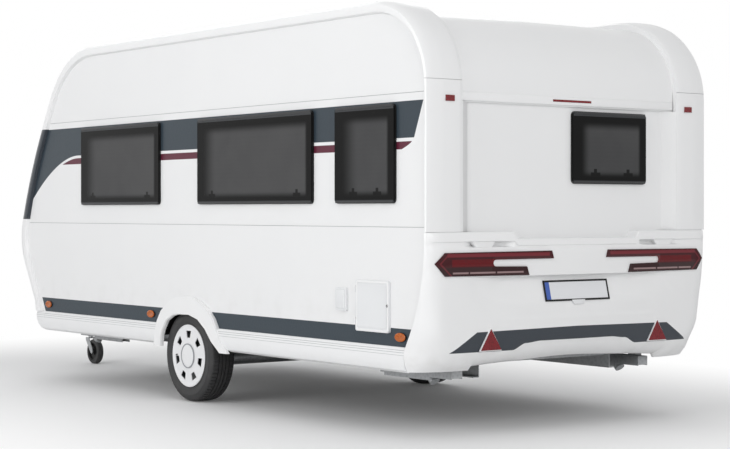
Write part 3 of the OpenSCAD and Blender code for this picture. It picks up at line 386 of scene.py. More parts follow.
def tailLampMaterial():
    # dark red lens: lit cells in the arrow, a light guide along the top bar, a clear strip below
    lamp = {"lens": (0.055, 0.006, 0.009), "cells": (0.13, 0.004, 0.007), "guide": (0.17, 0.020, 0.028),
            "smoke": (0.030, 0.008, 0.009), "clear": (0.30, 0.20, 0.20)}
    shader = Shader("tailLamp", lamp["lens"], 0.16, coat=0.12, coatRough=0.03, shine=0.2)
    x, y, z = shader.xyz()
    side = y.maths("ABSOLUTE")
    guide = z.band(1.046, 1.066, 0.003) * side.band(0.250, 1.020, 0.004)
    cells = z.band(0.992, 1.032, 0.003) * side.band(0.585, 0.985, 0.004)
    grid = shader.node("ShaderNodeTexVoronoi", {"feature": "F1", "distance": "CHEBYCHEV"},
                       {"Vector": shader.coords(), "Scale": 42.0, "Randomness": 0.25})
    lower = 1 - z.ramp(0.984, 0.988)
    segments = 1 - side.band(0.655, 0.668, 0.002) - side.band(0.856, 0.866, 0.002)
    clear = z.band(0.950, 0.960, 0.0015) * side.band(0.455, 0.980, 0.003) * segments
    chevron = (side + (z - 1.009).maths("ABSOLUTE") * 1.08).band(1.060, 1.074, 0.002)
    colour = shader.mix(lower, lamp["lens"], lamp["smoke"])
    colour = shader.mix(guide, colour, lamp["guide"])
    colour = shader.mix(cells * (0.55 + grid * 0.8), colour, lamp["cells"])
    colour = shader.mix(clear, colour, lamp["clear"])
    colour = shader.mix(chevron * 0.7, colour, lamp["guide"])
    shader.put("Base Color", colour)
    shader.bump(grid * cells * 1.5 + guide * 0.6 + clear + shader.noise(90.0) * 0.2, 0.0016, 0.6)
    return shader.material


def plateMaterial():
    # blank white plate with a plain blue field at its left end
    shader = Shader("numberPlate", (0.74, 0.75, 0.77), 0.28, coat=0.3)
    x, y, z = shader.xyz()
    blue = y.ramp(0.216, 0.218)
    beads = shader.noise(700.0, 2.0)
    shader.put("Base Color", shader.mix(blue, (0.74, 0.75, 0.77), (0.020, 0.085, 0.40)))
    shader.put("Roughness", 0.22 + beads * 0.2)
    shader.bump(beads, 0.0003, 0.4)
    return shader.material


def galvanisedMaterial():
    shader = Shader("galvanised", (0.42, 0.43, 0.44), 0.45, metal=0.85)
    flakes = shader.node("ShaderNodeTexVoronoi", {"feature": "F1"},
                         {"Vector": shader.coords(), "Scale": 45.0, "Randomness": 1.0})
    dull = shader.noise(8.0, 5.0)
    shader.put("Base Color", shader.mix(flakes.ramp(0.0, 0.7) * 0.5, (0.36, 0.37, 0.38), (0.52, 0.53, 0.54)))
    shader.put("Roughness", 0.38 + dull * 0.25)
    shader.bump(dull, 0.0004, 0.3)
    return shader.material


def rubberMaterial(name, colour, rough):
    shader = Shader(name, colour, rough)
    dust = shader.noise(14.0, 5.0)
    shader.put("Base Color", shader.mix(dust.ramp(0.45, 0.75) * 0.35, colour, (0.075, 0.072, 0.068)))
    shader.put("Roughness", rough + (dust - 0.5) * 0.2)
    shader.bump(shader.noise(260.0, 3.0), 0.0005, 0.5)
    return shader.material


glazing = {
    "left": [(0.312, 0.898, 1.354, 1.932), (1.139, 2.485, 1.354, 1.932), (3.003, 4.162, 1.354, 1.932)],
    "right": [(0.560, 1.906, 1.354, 1.932), (4.000, 4.586, 1.354, 1.932)],
    "rear": [(-0.648, -0.018, 1.475, 1.915)], "front": [(-0.748, 0.748, 1.322, 1.856)],
    "door": [(3.262, 3.618, 1.312, 1.898)],
}
looks = {
    "body_sheet": sheetMaterial(), "body_moulding": mouldingMaterial(), "nose": noseMaterial(),
    "bumper": bumperMaterial(), "skirt_aluminium": skirtMaterial(),
    "underbody": plainPlastic("underbody", (0.035, 0.035, 0.035), 0.8, 0.0006, 120.0),
    "black_plastic": plainPlastic("blackTrim", (0.010, 0.010, 0.010), 0.32, 0.0002, 600.0, shine=0.2),
    "smoked_acrylic": plainPlastic("smokedAcrylic", (0.035, 0.036, 0.038), 0.1, 0.0001, 30.0, 0.6),
    "paneLeft": paneMaterial("paneLeft", glazing["left"]), "paneRight": paneMaterial("paneRight", glazing["right"]),
    "paneEnds": paneMaterial("paneEnds", glazing["rear"] + glazing["front"], "y"),
    "paneDoor": paneMaterial("paneDoor", glazing["door"]),
    "blind_fabric": plainPlastic("blindFabric", (0.35, 0.35, 0.35), 0.9),
    "red_lens": lensMaterial("redLens", (0.24, 0.012, 0.018)), "tailLamp": tailLampMaterial(),
    "amber_lens": lensMaterial("amberLens", (0.56, 0.125, 0.008)), "rearPanel": rearPanelMaterial(),
    "plate_white": plateMaterial(),
    "hatch_acrylic": plainPlastic("hatchAcrylic", (0.55, 0.57, 0.59), 0.15, coat=0.5),
    "white_plastic": plainPlastic("whitePlastic", (0.76, 0.77, 0.78), 0.36),
    "tyre_rubber": rubberMaterial("tyreRubber", (0.026, 0.026, 0.027), 0.62),
    "wheel_cover": wheelMaterial(),
    "galvanised": galvanisedMaterial(),
    "black_paint": plainPlastic("blackPaint", (0.018, 0.018, 0.019), 0.4, coat=0.3),
    "greyTrim": plainPlastic("greyTrim", (0.040, 0.041, 0.043), 0.35, 0.0002, 500.0, shine=0.3),
    "hubRing": plainPlastic("hubRing", (0.30, 0.31, 0.33), 0.3, coat=0.4),
}
special = {
    "front_wall": "nose", "locker_lid": "nose", "rear_bumper": "bumper", "window_panes_left": "paneLeft",
    "window_panes_right": "paneRight", "window_panes_ends": "paneEnds",
    "tail_light_left": "tailLamp", "tail_light_right": "tailLamp", "rear_wall": "rearPanel",
    "roof_panel": "rearPanel", "door_window": "paneDoor",
}
print("materials made:", len(looks))

slotOf = {row["node"]: row["material_slot"] for row in frame["record"]["subparts"]}
for name, piece in nodes.items():
    piece.data.materials.clear()
    piece.data.materials.append(looks[special.get(name, slotOf[name])])


# smooth the CAD skins
def smoothSkin(name, angle):
    piece = nodes[name]
    mesh = piece.data
    bpy.ops.object.select_all(action="DESELECT")
    bpy.context.view_layer.objects.active = piece
    piece.select_set(True)
    if mesh.has_custom_normals:
        bpy.ops.mesh.customdata_custom_splitnormals_clear()
    mesh.polygons.foreach_set("use_smooth", [True] * len(mesh.polygons))
    weld = piece.modifiers.new("weld", "WELD")
    weld.merge_threshold = 0.00005
    split = piece.modifiers.new("creases", "EDGE_SPLIT")
    split.split_angle = math.radians(angle)
    mesh.update()


for name in nodes:
    smoothSkin(name, 32 if "edge_moulding" in name else 28)
print("skins smoothed")


# modelling: everything is deselected first, and a finished piece has its place in its mesh
def clearSelection():
    if bpy.context.mode != "OBJECT":
        bpy.ops.object.mode_set(mode="OBJECT")
    bpy.ops.object.select_all(action="DESELECT")


def settle(name):
    bpy.ops.object.transform_apply(location=True, rotation=True, scale=True)
    piece = bpy.context.active_object
    piece.name = name
    bpy.ops.object.mode_set(mode="EDIT")
    bpy.ops.mesh.select_all(action="DESELECT")
    return piece


def startBlock(name, low, high):
    clearSelection()
    middle = [(a + b) / 2 for a, b in zip(low, high)]
    bpy.ops.mesh.primitive_cube_add(size=1, location=middle, scale=[b - a for a, b in zip(low, high)])
    return settle(name)


def startRound(name, middle, radius, depth, axis="Z", sides=32):
    clearSelection()
    turn = {"X": (0, math.pi / 2, 0), "Y": (math.pi / 2, 0, 0), "Z": (0, 0, 0)}[axis]
    bpy.ops.mesh.primitive_cylinder_add(vertices=sides, radius=radius, depth=depth, location=middle,
                                        rotation=turn)
    return settle(name)


def startOutline(name, points, filled=True):
    # a flat outline with one corner at each point
    clearSelection()
    bpy.ops.mesh.primitive_circle_add(vertices=len(points), radius=1,
                                      fill_type="NGON" if filled else "NOTHING")
    piece = settle(name)
    mesh = bmesh.from_edit_mesh(piece.data)
    for corner, point in zip(mesh.verts, points):
        corner.co = point
    bmesh.update_edit_mesh(piece.data)
    return piece


def pick(test, kind="FACE"):
    # faces, edges or corners, chosen by their middle and their direction
    bpy.ops.mesh.select_mode(type=kind)
    bpy.ops.mesh.select_all(action="DESELECT")
    mesh = bmesh.from_edit_mesh(bpy.context.edit_object.data)
    for part in {"FACE": mesh.faces, "EDGE": mesh.edges, "VERT": mesh.verts}[kind]:
        if kind == "FACE":
            middle, way = part.calc_center_median(), part.normal
        elif kind == "EDGE":
            ends = [corner.co for corner in part.verts]
            middle, way = (ends[0] + ends[1]) / 2, (ends[1] - ends[0]).normalized()
        else:
            middle, way = part.co, part.normal
        if test(middle, way):
            part.select_set(True)
    bmesh.update_edit_mesh(bpy.context.edit_object.data)


def extrude(move):
    bpy.ops.mesh.extrude_region_move(TRANSFORM_OT_translate={"value": move})


def press(by):
    bpy.ops.mesh.extrude_region_shrink_fatten(TRANSFORM_OT_shrink_fatten={"value": by})


def resize(sizes, middle):
    bpy.ops.transform.resize(value=sizes, center_override=middle)


def copyOf(piece, name, move=(0, 0, 0), mirrored=False, turn=None):
    clearSelection()
    bpy.context.view_layer.objects.active = piece
    piece.select_set(True)
    bpy.ops.object.duplicate()
    double = bpy.context.active_object
    double.name = name
    if turn:
        bpy.ops.transform.rotate(value=turn[0], orient_axis=turn[1], center_override=turn[2])
    if mirrored:
        bpy.ops.transform.resize(value=(1, -1, 1), center_override=(0, 0, 0))
    bpy.ops.transform.translate(value=move)
    bpy.ops.object.transform_apply(location=True, rotation=True, scale=True)
    return double


def joined(parts, name):
    clearSelection()
    bpy.context.view_layer.objects.active = parts[0]
    for part in parts:
        part.select_set(True)
    bpy.ops.object.join()
    parts[0].name = name
    return parts[0]


def finish(piece, look, bodyName, bevel=0.0, steps=2, angle=35, hides=()):
    clearSelection()
    bpy.context.view_layer.objects.active = piece
    piece.select_set(True)
    bpy.ops.object.mode_set(mode="EDIT")
    bpy.ops.mesh.select_all(action="SELECT")
    bpy.ops.mesh.remove_doubles(threshold=0.00002)
    bpy.ops.mesh.normals_make_consistent(inside=False)
    bpy.ops.object.mode_set(mode="OBJECT")
    if bevel:
        edges = piece.modifiers.new("edges", "BEVEL")
        edges.width, edges.segments = bevel, steps
        edges.limit_method, edges.angle_limit = "ANGLE", math.radians(30)
        bpy.ops.object.modifier_apply(modifier="edges")
    bpy.ops.object.shade_smooth_by_angle(angle=math.radians(angle))
    piece.data.materials.clear()
    piece.data.materials.append(looks[look])
    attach(piece, bodyName)
    for node in hides:
        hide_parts(node)
    return piece


def makeTyres():
    tyre = {"middle": (along(2.668), 1.007, 0.315), "steps": 216, "groove": 0.0075, "slot": 0.006}
    # outline of the cover's section, radius and offset from the middle plane, towards the outside
    half = [(0.190, 0.061), (0.190, 0.075), (0.200, 0.083), (0.214, 0.087), (0.220, 0.0885), (0.2215, 0.091),
            (0.227, 0.092), (0.2285, 0.0905), (0.240, 0.0925), (0.252, 0.0955), (0.268, 0.0968), (0.272, 0.0968),
            (0.2735, 0.0955), (0.286, 0.0935), (0.297, 0.0885), (0.3055, 0.0815), (0.3105, 0.0735),
            (0.3130, 0.0600), (0.3143, 0.0440), (0.3146, 0.0380), (0.3149, 0.0160), (0.3150, 0.0100)]
    inside = [(0.300, 0.037), (0.297, 0.065), (0.286, 0.079), (0.268, 0.086), (0.240, 0.083), (0.222, 0.073),
              (0.206, 0.061)]
    ring = [(r, y) for r, y in half] + [(r, -y) for r, y in reversed(half)]
    ring += [(r, -y) for r, y in reversed(inside)] + [(r, y) for r, y in inside]
    cx, cy, cz = tyre["middle"]
    piece = startOutline("tyreLeft", [(cx + r, cy + y, cz) for r, y in ring], filled=False)
    bpy.ops.mesh.select_all(action="SELECT")
    bpy.ops.mesh.spin(steps=tyre["steps"], angle=2 * math.pi, center=tyre["middle"], axis=(0, 1, 0))
    bpy.ops.mesh.select_all(action="SELECT")
    bpy.ops.mesh.remove_doubles(threshold=0.00005)
    bpy.ops.mesh.normals_make_consistent(inside=False)

    def column(point):
        return int(round(math.atan2(point.z - cz, point.x - cx) / (2 * math.pi) * tyre["steps"] - 0.5))

    def reach(point):
        return math.hypot(point.x - cx, point.z - cz)

    # blocks of the shoulders, then the sipes of the middle ribs, then the grooves round
    pick(lambda at, way: reach(at) > 0.306 and 0.046 < abs(at.y - cy) < 0.078
         and (column(at) + (at.y > cy)) % 3 == 0)
    bpy.ops.mesh.inset(thickness=0.0010)
    press(-tyre["slot"])
    pick(lambda at, way: reach(at) > 0.306 and 0.018 < abs(at.y - cy) < 0.036
         and (column(at) + 1 + (at.y > cy)) % 3 == 0)
    bpy.ops.mesh.inset(thickness=0.0032)
    press(-0.004)
    pick(lambda at, way: reach(at) > 0.3135
         and (0.0382 < abs(at.y - cy) < 0.0438 or 0.0102 < abs(at.y - cy) < 0.0158))
    press(-tyre["groove"])
    clearSelection()
    double = copyOf(piece, "tyreRight", mirrored=True)
    finish(piece, "tyre_rubber", "left_road_wheel", angle=38, hides=["tyre_left"])
    finish(double, "tyre_rubber", "right_road_wheel", angle=38, hides=["tyre_right"])


def makeWheelTrim():
    trim = {"middle": (along(2.668), 1.1092, 0.315), "radius": 0.081, "width": 0.007}
    cx, cy, cz = trim["middle"]
    # thin bright ring on the cover's dome, and the tyre valve
    r, w = trim["radius"], trim["width"] / 2
    section = [(r - w, -0.0045), (r - w, 0.0000), (r, 0.0012), (r + w, -0.0002), (r + w, -0.0055)]
    ringLeft = startOutline("hubRingLeft", [(cx + a, cy + b, cz) for a, b in section], filled=False)
    bpy.ops.mesh.select_all(action="SELECT")
    bpy.ops.mesh.spin(steps=72, angle=2 * math.pi, center=trim["middle"], axis=(0, 1, 0))
    clearSelection()
    valve = startRound("valveLeft", (cx + 0.148, 1.093, cz), 0.0048, 0.022, "Y", 16)
    pick(lambda at, way: way.y > 0.9)
    bpy.ops.mesh.inset(thickness=0.001)
    extrude((0, 0.008, 0))
    resize((0.75, 1, 0.75), (cx + 0.148, 1.1, cz))
    clearSelection()
    for part, name, look in ((ringLeft, "hubRingRight", "hubRing"), (valve, "valveRight", "black_plastic")):
        double = copyOf(part, name, mirrored=True)
        finish(part, look, "left_road_wheel", angle=50)
        finish(double, look, "right_road_wheel", angle=50)


def makeWindowRails():
    # hinge profile along the top of each window and drip lip along the bottom
    rail = {"top": 0.017, "bottom": 0.010, "proud": 0.0035, "faceY": 1.142}
    parts = []

    def bar(name, low, high, sign):
        piece = startBlock(name, low, high)
        pick(lambda at, way: way.y * sign > 0.9)
        bpy.ops.mesh.inset(thickness=0.002)
        bpy.ops.transform.translate(value=(0, sign * 0.0012, 0))
        clearSelection()
        parts.append(piece)

    for side, openings in ((1, glazing["left"]), (-1, glazing["right"])):
        for index, (x0, x1, z0, z1) in enumerate(openings):
            ends = sorted((side * (rail["faceY"] - 0.002), side * (rail["faceY"] + rail["proud"] - 0.0012)))
            for z in ((z1 - rail["top"], z1 - 0.001), (z0 + 0.003, z0 + 0.003 + rail["bottom"])):
                bar("windowRail", (along(x0 + 0.012), ends[0], z[0]), (along(x1 - 0.012), ends[1], z[1]), side)
    finish(joined(parts, "windowRails"), "greyTrim", "caravan", bevel=0.001)
    # the rear window has the same two profiles
    y0, y1, z0, z1 = glazing["rear"][0]
    backX = along(0.040)
    ends = []
    for z in ((z1 - 0.019, z1 - 0.002), (z0 + 0.004, z0 + 0.014)):
        piece = startBlock("rearRail", (backX - 0.0032, y0 + 0.012, z[0]), (backX + 0.002, y1 - 0.012, z[1]))
        pick(lambda at, way: way.x < -0.9)
        bpy.ops.mesh.inset(thickness=0.002)
        bpy.ops.transform.translate(value=(-0.001, 0, 0))
        clearSelection()
        ends.append(piece)
    finish(joined(ends, "rearWindowRails"), "greyTrim", "caravan", bevel=0.001)


def makeReflectors():
    # a moulded foot under each triangle, which fills the lean of the bumper behind it
    mount = {"y": 0.686, "half": 0.078, "z": (0.505, 0.628), "rim": 0.005, "back": -0.004, "face": -0.0168}
    feet, lenses = [], []
    low, high = mount["z"]
    for side in (-1, 1):
        y, half, rim = side * mount["y"], mount["half"], mount["rim"]
        foot = startOutline("reflectorFoot", [
            (along(mount["back"]), y - half - rim, low - rim), (along(mount["back"]), y + half + rim, low - rim),
            (along(mount["back"]), y, high + 1.7 * rim)])
        bpy.ops.mesh.select_all(action="SELECT")
        extrude((mount["face"] - mount["back"] - 0.001, 0, 0))
        clearSelection()
        feet.append(foot)
        lens = startOutline("reflectorLens", [
            (along(mount["face"]), y - half, low), (along(mount["face"]), y + half, low),
            (along(mount["face"]), y, high)])
        bpy.ops.mesh.select_all(action="SELECT")
        extrude((-0.004, 0, 0))
        pick(lambda at, way: at.x < along(mount["face"]) - 0.0035)
        bpy.ops.mesh.inset(thickness=0.010)
        bpy.ops.transform.translate(value=(0.0012, 0, 0))
        clearSelection()
        lenses.append(lens)
    finish(joined(feet, "reflectorFeet"), "body_moulding", "caravan", bevel=0.0015)
    finish(joined(lenses, "reflectorLenses"), "red_lens", "caravan", bevel=0.001)


def makePlateFrame():
    # black holder round the blank plate, with the clip that closes it below
    plate = {"half": 0.260, "foot": (-0.01848, 0.776), "height": 0.118, "lean": math.atan(0.24), "rim": 0.011}
    rim, half, tall = plate["rim"], plate["half"], plate["height"]
    frame = startBlock("plateHolder", (-0.0085, -half - rim * 0.4, -rim * 0.4),
                       (-0.0035, half + rim * 0.4, tall + rim * 0.4))
    pick(lambda at, way: way.x < -0.9)
    bpy.ops.mesh.inset(thickness=rim)
    extrude((0.0035, 0, 0))
    clearSelection()
    clip = startBlock("plateClip", (-0.010, -0.055, -0.026), (-0.002, 0.055, 0.001))
    pick(lambda at, way: way.z < -0.9)
    resize((1, 0.7, 1), (0, 0, 0))
    pick(lambda at, way: way.x < -0.9)
    bpy.ops.mesh.inset(thickness=0.003)
    bpy.ops.transform.translate(value=(-0.0015, 0, 0))
    clearSelection()
    for piece, look in ((frame, "black_plastic"), (clip, "white_plastic")):
        clearSelection()
        bpy.context.view_layer.objects.active = piece
        piece.select_set(True)
        piece.rotation_euler = (0, plate["lean"], 0)
        piece.location = (along(plate["foot"][0]), 0, plate["foot"][1])
        bpy.ops.object.transform_apply(location=True, rotation=True, scale=True)
        finish(piece, look, "caravan", bevel=0.001)


def raisedPanel(name, x0, x1, z0, z1, face, height, side, corner=0.014, steps=5):
    # a low plate with round corners on a side wall's piece, its face stepped in once
    points = []
    for cx, cz, start in ((x1 - corner, z1 - corner, 0), (x0 + corner, z1 - corner, 90),
                          (x0 + corner, z0 + corner, 180), (x1 - corner, z0 + corner, 270)):
        for step in range(steps + 1):
            turn = math.radians(start + 90 * step / steps)
            points.append((along(cx + corner * math.cos(turn)), side * face, cz + corner * math.sin(turn)))
    piece = startOutline(name, points)
    bpy.ops.mesh.select_all(action="SELECT")
    extrude((0, side * height, 0))
    pick(lambda at, way: abs(at.y) > face + height - 0.0002)
    return piece


def bridgeOpenEdges():
    bpy.ops.mesh.select_mode(type="EDGE")
    bpy.ops.mesh.select_all(action="DESELECT")
    bpy.ops.mesh.select_non_manifold(extend=False)
    bpy.ops.mesh.bridge_edge_loops()


def makeServiceHatch():
    # raised inner panel of the lid, the ring round it, its lock and the filler flap near it
    lid = {"x": (0.386, 0.668), "z": (0.624, 0.878), "face": 1.1378, "height": 0.0030, "lock": (0.379, 0.758)}
    panel = raisedPanel("hatchPanel", *lid["x"], *lid["z"], lid["face"], lid["height"], 1)
    bpy.ops.mesh.inset(thickness=0.010)
    bpy.ops.transform.translate(value=(0, -0.0016, 0))
    finish(panel, "white_plastic", "hatch", bevel=0.0008)
    ring = raisedPanel("hatchFrame", 0.368, 0.681, 0.602, 0.900, lid["face"], 0.0030, 1, 0.018)
    bpy.ops.mesh.inset(thickness=0.013)
    bpy.ops.mesh.delete(type="FACE")
    pick(lambda at, way: abs(at.y) < lid["face"] + 0.0002)
    bpy.ops.mesh.inset(thickness=0.013)
    bpy.ops.mesh.delete(type="FACE")
    bridgeOpenEdges()
    finish(ring, "body_moulding", "hatch", bevel=0.0012)
    lock = startRound("hatchLock", (along(lid["lock"][0]), lid["face"] + 0.001, lid["lock"][1]), 0.0085, 0.006,
                      "Y", 24)
    pick(lambda at, way: way.y > 0.9)
    bpy.ops.mesh.inset(thickness=0.003)
    extrude((0, -0.0015, 0))
    finish(lock, "greyTrim", "hatch", bevel=0.0006)
    flap = raisedPanel("fillerFlap", 0.800, 0.882, 0.726, 0.838, 1.1378, 0.0042, 1, 0.008)
    bpy.ops.mesh.inset(thickness=0.006)
    bpy.ops.transform.translate(value=(0, 0.0016, 0))
    finish(flap, "white_plastic", "caravan", bevel=0.0012)


def makeVentGrilles():
    # louvres of the two fridge vents on the right wall
    vent = {"x": (2.284, 2.696), "z": ((0.914, 1.076), (1.394, 1.556)), "face": 1.1358, "slats": 9}
    parts = []
    for low, high in vent["z"]:
        pitch = (high - low) / vent["slats"]
        for index in range(vent["slats"]):
            z = low + (index + 0.5) * pitch
            slat = startBlock("ventSlat", (along(vent["x"][0]), -vent["face"] - 0.0055, z - pitch * 0.30),
                              (along(vent["x"][1]), -vent["face"] + 0.001, z + pitch * 0.30))
            pick(lambda at, way: at.y < -vent["face"] - 0.004)
            resize((0.995, 1, 0.35), (along(2.49), -vent["face"], z))
            bpy.ops.transform.translate(value=(0, 0, -pitch * 0.16))
            clearSelection()
            parts.append(slat)
    finish(joined(parts, "ventLouvres"), "white_plastic", "caravan", bevel=0.0006)
    backs = []
    for low, high in vent["z"]:
        back = raisedPanel("ventBack", vent["x"][0] - 0.006, vent["x"][1] + 0.006, low - 0.006, high + 0.006,
                           1.1358, 0.0008, -1, 0.012)
        clearSelection()
        backs.append(back)
    finish(joined(backs, "ventBacks"), "black_plastic", "caravan")


def makeDoorDetails():
    # trim ring round the door's window, lever in the handle's dish, kick panel and lock
    door = {"x0": 3.146, "x1": 3.734, "face": 1.128, "window": (3.280, 3.600, 1.330, 1.880), "handle": (3.195, 1.253)}
    x0, x1, z0, z1 = door["window"]
    ring = raisedPanel("doorWindowTrim", x0 - 0.022, x1 + 0.022, z0 - 0.022, z1 + 0.022, door["face"], 0.0065, -1,
                       0.058, 8)
    bpy.ops.mesh.inset(thickness=0.024)
    bpy.ops.mesh.delete(type="FACE")
    pick(lambda at, way: abs(at.y) < door["face"] + 0.0002)
    bpy.ops.mesh.inset(thickness=0.024)
    bpy.ops.mesh.delete(type="FACE")
    bridgeOpenEdges()
    finish(ring, "black_plastic", "door", bevel=0.0018)
    kick = raisedPanel("doorKickPanel", 3.200, 3.680, 0.640, 1.060, door["face"], 0.003, -1, 0.030, 6)
    bpy.ops.mesh.inset(thickness=0.014)
    bpy.ops.transform.translate(value=(0, 0.0016, 0))
    finish(kick, "body_sheet", "door", bevel=0.0010)
    hx, hz = door["handle"]
    lever = startBlock("doorLever", (along(hx) - 0.009, -1.1482, hz - 0.050), (along(hx) + 0.009, -1.1440, hz + 0.050))
    pick(lambda at, way: way.y < -0.9)
    bpy.ops.mesh.inset(thickness=0.004)
    bpy.ops.transform.translate(value=(0, 0.0014, 0))
    finish(lever, "greyTrim", "door", bevel=0.0016)
    lock = startRound("doorLock", (along(hx), -1.1373, hz - 0.064), 0.0075, 0.003, "Y", 20)
    pick(lambda at, way: way.y < -0.9)
    bpy.ops.mesh.inset(thickness=0.0025)
    extrude((0, 0.001, 0))
    finish(lock, "galvanised", "door", bevel=0.0004)


def makeDoorLamp():
    # lamp over the door and rain rail above it
    lamp = {"x": (3.300, 3.580), "z": (2.262, 2.318), "wall": 1.1215, "out": 1.1480}
    base = startBlock("doorLampBase", (along(lamp["x"][0]), -lamp["wall"] - 0.006, lamp["z"][0]),
                      (along(lamp["x"][1]), -lamp["wall"], lamp["z"][1]))
    pick(lambda at, way: way.y < -0.9)
    bpy.ops.mesh.inset(thickness=0.006)
    clearSelection()
    finish(base, "white_plastic", "caravan", bevel=0.0015)
    lens = startBlock("doorLampLens", (along(lamp["x"][0]) + 0.008, -lamp["out"], lamp["z"][0] + 0.008),
                      (along(lamp["x"][1]) - 0.008, -lamp["wall"] - 0.005, lamp["z"][1] - 0.008))
    pick(lambda at, way: way.y < -0.9)
    resize((0.94, 1, 0.62), (along(3.44), -lamp["out"], lamp["z"][0] + 0.022))
    finish(lens, "hatch_acrylic", "caravan", bevel=0.003, steps=3)
    gutter = startBlock("doorRainRail", (along(3.120), -1.1345, 2.232), (along(3.760), -1.1215, 2.2385))
    pick(lambda at, way: way.y < -0.9)
    extrude((0, -0.0015, 0.006))
    finish(gutter, "white_plastic", "caravan", bevel=0.001)


def makeSideMarkers():
    # oval amber lamps: dark foot, stepped lens
    marker = {"left": (0.270, 3.135, 4.724), "right": (0.270, 3.092, 4.724), "tall": 0.026, "stretch": 1.9,
              "z": 0.582, "wall": 1.122}
    feet, lenses = [], []
    for side, places in ((1, marker["left"]), (-1, marker["right"])):
        for x in places:
            middle = (along(x), side * (marker["wall"] + 0.003), marker["z"])
            foot = startRound("markerFoot", middle, marker["tall"] + 0.002, 0.006, "Y", 40)
            bpy.ops.mesh.select_all(action="SELECT")
            resize((marker["stretch"], 1, 1), middle)
            clearSelection()
            feet.append(foot)
            lens = startRound("markerLens", (middle[0], side * (marker["wall"] + 0.006), middle[2]), marker["tall"],
                              0.007, "Y", 40)
            bpy.ops.mesh.select_all(action="SELECT")
            resize((marker["stretch"], 1, 1), middle)
            pick(lambda at, way: way.y * side > 0.9)
            for inward, out in ((0.004, 0.0022), (0.006, 0.0010), (0.004, -0.0018)):
                bpy.ops.mesh.inset(thickness=inward)
                bpy.ops.transform.translate(value=(0, side * out, 0))
            clearSelection()
            lenses.append(lens)
    finish(joined(feet, "sideMarkerFeet"), "black_plastic", "caravan", bevel=0.001)
    finish(joined(lenses, "sideMarkerLenses"), "amber_lens", "caravan", hides=["side_markers"])


def makeTailLamps():
    # arrow lens with a round-ended notch, drawn flat behind the bumper and laid on to it
    lamp = {"proud": 0.0095, "thick": 0.0085, "rim": 0.0050, "notch": (0.664, 1.0092, 0.0195), "start": -0.20}
    cy, cz, r = lamp["notch"]
    ring = [(1.100, 1.010), (1.035, 1.072), (0.232, 1.076), (0.218, 1.030)]
    ring += [(cy + r * math.cos(math.radians(a)), cz + r * math.sin(math.radians(a))) for a in range(90, -91, -20)]
    ring += [(0.428, 0.986), (0.410, 0.934), (1.035, 0.938)]
    piece = startOutline("tailLampLeft", [(along(lamp["start"]), y, z) for y, z in ring])
    cuts = [0.30 + 0.05 * k for k in range(14)] + [0.995, 1.015, 1.045, 1.060, 1.075, 1.090]
    for y in cuts:
        bpy.ops.mesh.select_all(action="SELECT")
        bpy.ops.mesh.bisect(plane_co=(0, y, 0), plane_no=(0, 1, 0))
    clearSelection()
    bpy.context.view_layer.objects.active = piece
    lay = piece.modifiers.new("lay", "SHRINKWRAP")
    lay.target = nodes["rear_bumper"]
    lay.wrap_method = "PROJECT"
    lay.use_project_x = True
    lay.use_positive_direction = True
    lay.use_negative_direction = False
    lay.offset = 0.0
    bpy.ops.object.modifier_apply(modifier="lay")
    bpy.ops.object.mode_set(mode="EDIT")
    bpy.ops.mesh.select_all(action="SELECT")
    bpy.ops.transform.translate(value=(-0.0010, 0, 0))
    extrude((-lamp["thick"], 0, 0))
    bpy.ops.mesh.inset(thickness=lamp["rim"])
    bpy.ops.transform.translate(value=(0.0022, 0, 0))
    clearSelection()
    double = copyOf(piece, "tailLampRight", mirrored=True)
    finish(piece, "tailLamp", "caravan", bevel=0.0010, hides=["tail_light_left"])
    finish(double, "tailLamp", "caravan", bevel=0.0010, hides=["tail_light_right"])


def makeRearBar():
    # rounded rail above the rear window, and tongues of the two shunting handles
    rail = {"half": 0.876, "z": (1.946, 1.996), "face": 0.0275, "root": 0.0365}
    bar = startBlock("rearTopRail", (along(rail["face"]) + 0.003, -rail["half"], rail["z"][0]),
                     (along(rail["root"]), rail["half"], rail["z"][1]))
    pick(lambda at, way: way.x < -0.9)
    bpy.ops.mesh.inset(thickness=0.010)
    bpy.ops.transform.translate(value=(-0.003, 0, 0))
    finish(bar, "body_moulding", "caravan", bevel=0.003, steps=3)
    tongues = []
    for side in (-1, 1):
        tongue = startBlock("gripTongue", (along(-0.0195), side * 0.740 - 0.090, 1.098),
                            (along(0.020), side * 0.740 + 0.090, 1.136))
        pick(lambda at, way: way.z < -0.9)
        resize((0.8, 0.66, 1), (along(-0.015), side * 0.740, 1.098))
        bpy.ops.mesh.inset(thickness=0.006)
        clearSelection()
        tongues.append(tongue)
    finish(joined(tongues, "gripTongues"), "body_moulding", "caravan", bevel=0.004, steps=3)


def makeLockerDetails():
    # two press locks and a finger strip near the lid's lower edge, set on its slope
    lid = {"top": (5.1196, 0.900), "bottom": (4.9978, 0.700), "locks": (-0.480, 0.480)}
    (xa, za), (xb, zb) = lid["top"], lid["bottom"]
    lean = math.atan2(xa - xb, za - zb)
    for name, y, look, half, size in (
            ("lidLockRight", lid["locks"][0], "black_plastic", (0.034, 0.022), 0.006),
            ("lidLockLeft", lid["locks"][1], "black_plastic", (0.034, 0.022), 0.006),
            ("lidPull", 0.0, "body_moulding", (0.240, 0.016), 0.010)):
        plate = startBlock(name, (-0.001, -half[0], -half[1]), (size, half[0], half[1]))
        pick(lambda at, way: way.x > 0.9)
        bpy.ops.mesh.inset(thickness=0.006)
        bpy.ops.transform.translate(value=(0.0022, 0, 0))
        clearSelection()
        bpy.context.view_layer.objects.active = plate
        plate.select_set(True)
        plate.rotation_euler = (0, lean, 0)
        plate.location = (along(xb + (xa - xb) * 0.18), y, zb + (za - zb) * 0.18)
        bpy.ops.object.transform_apply(location=True, rotation=True, scale=True)
        finish(plate, look, "front_lid", bevel=0.0015)


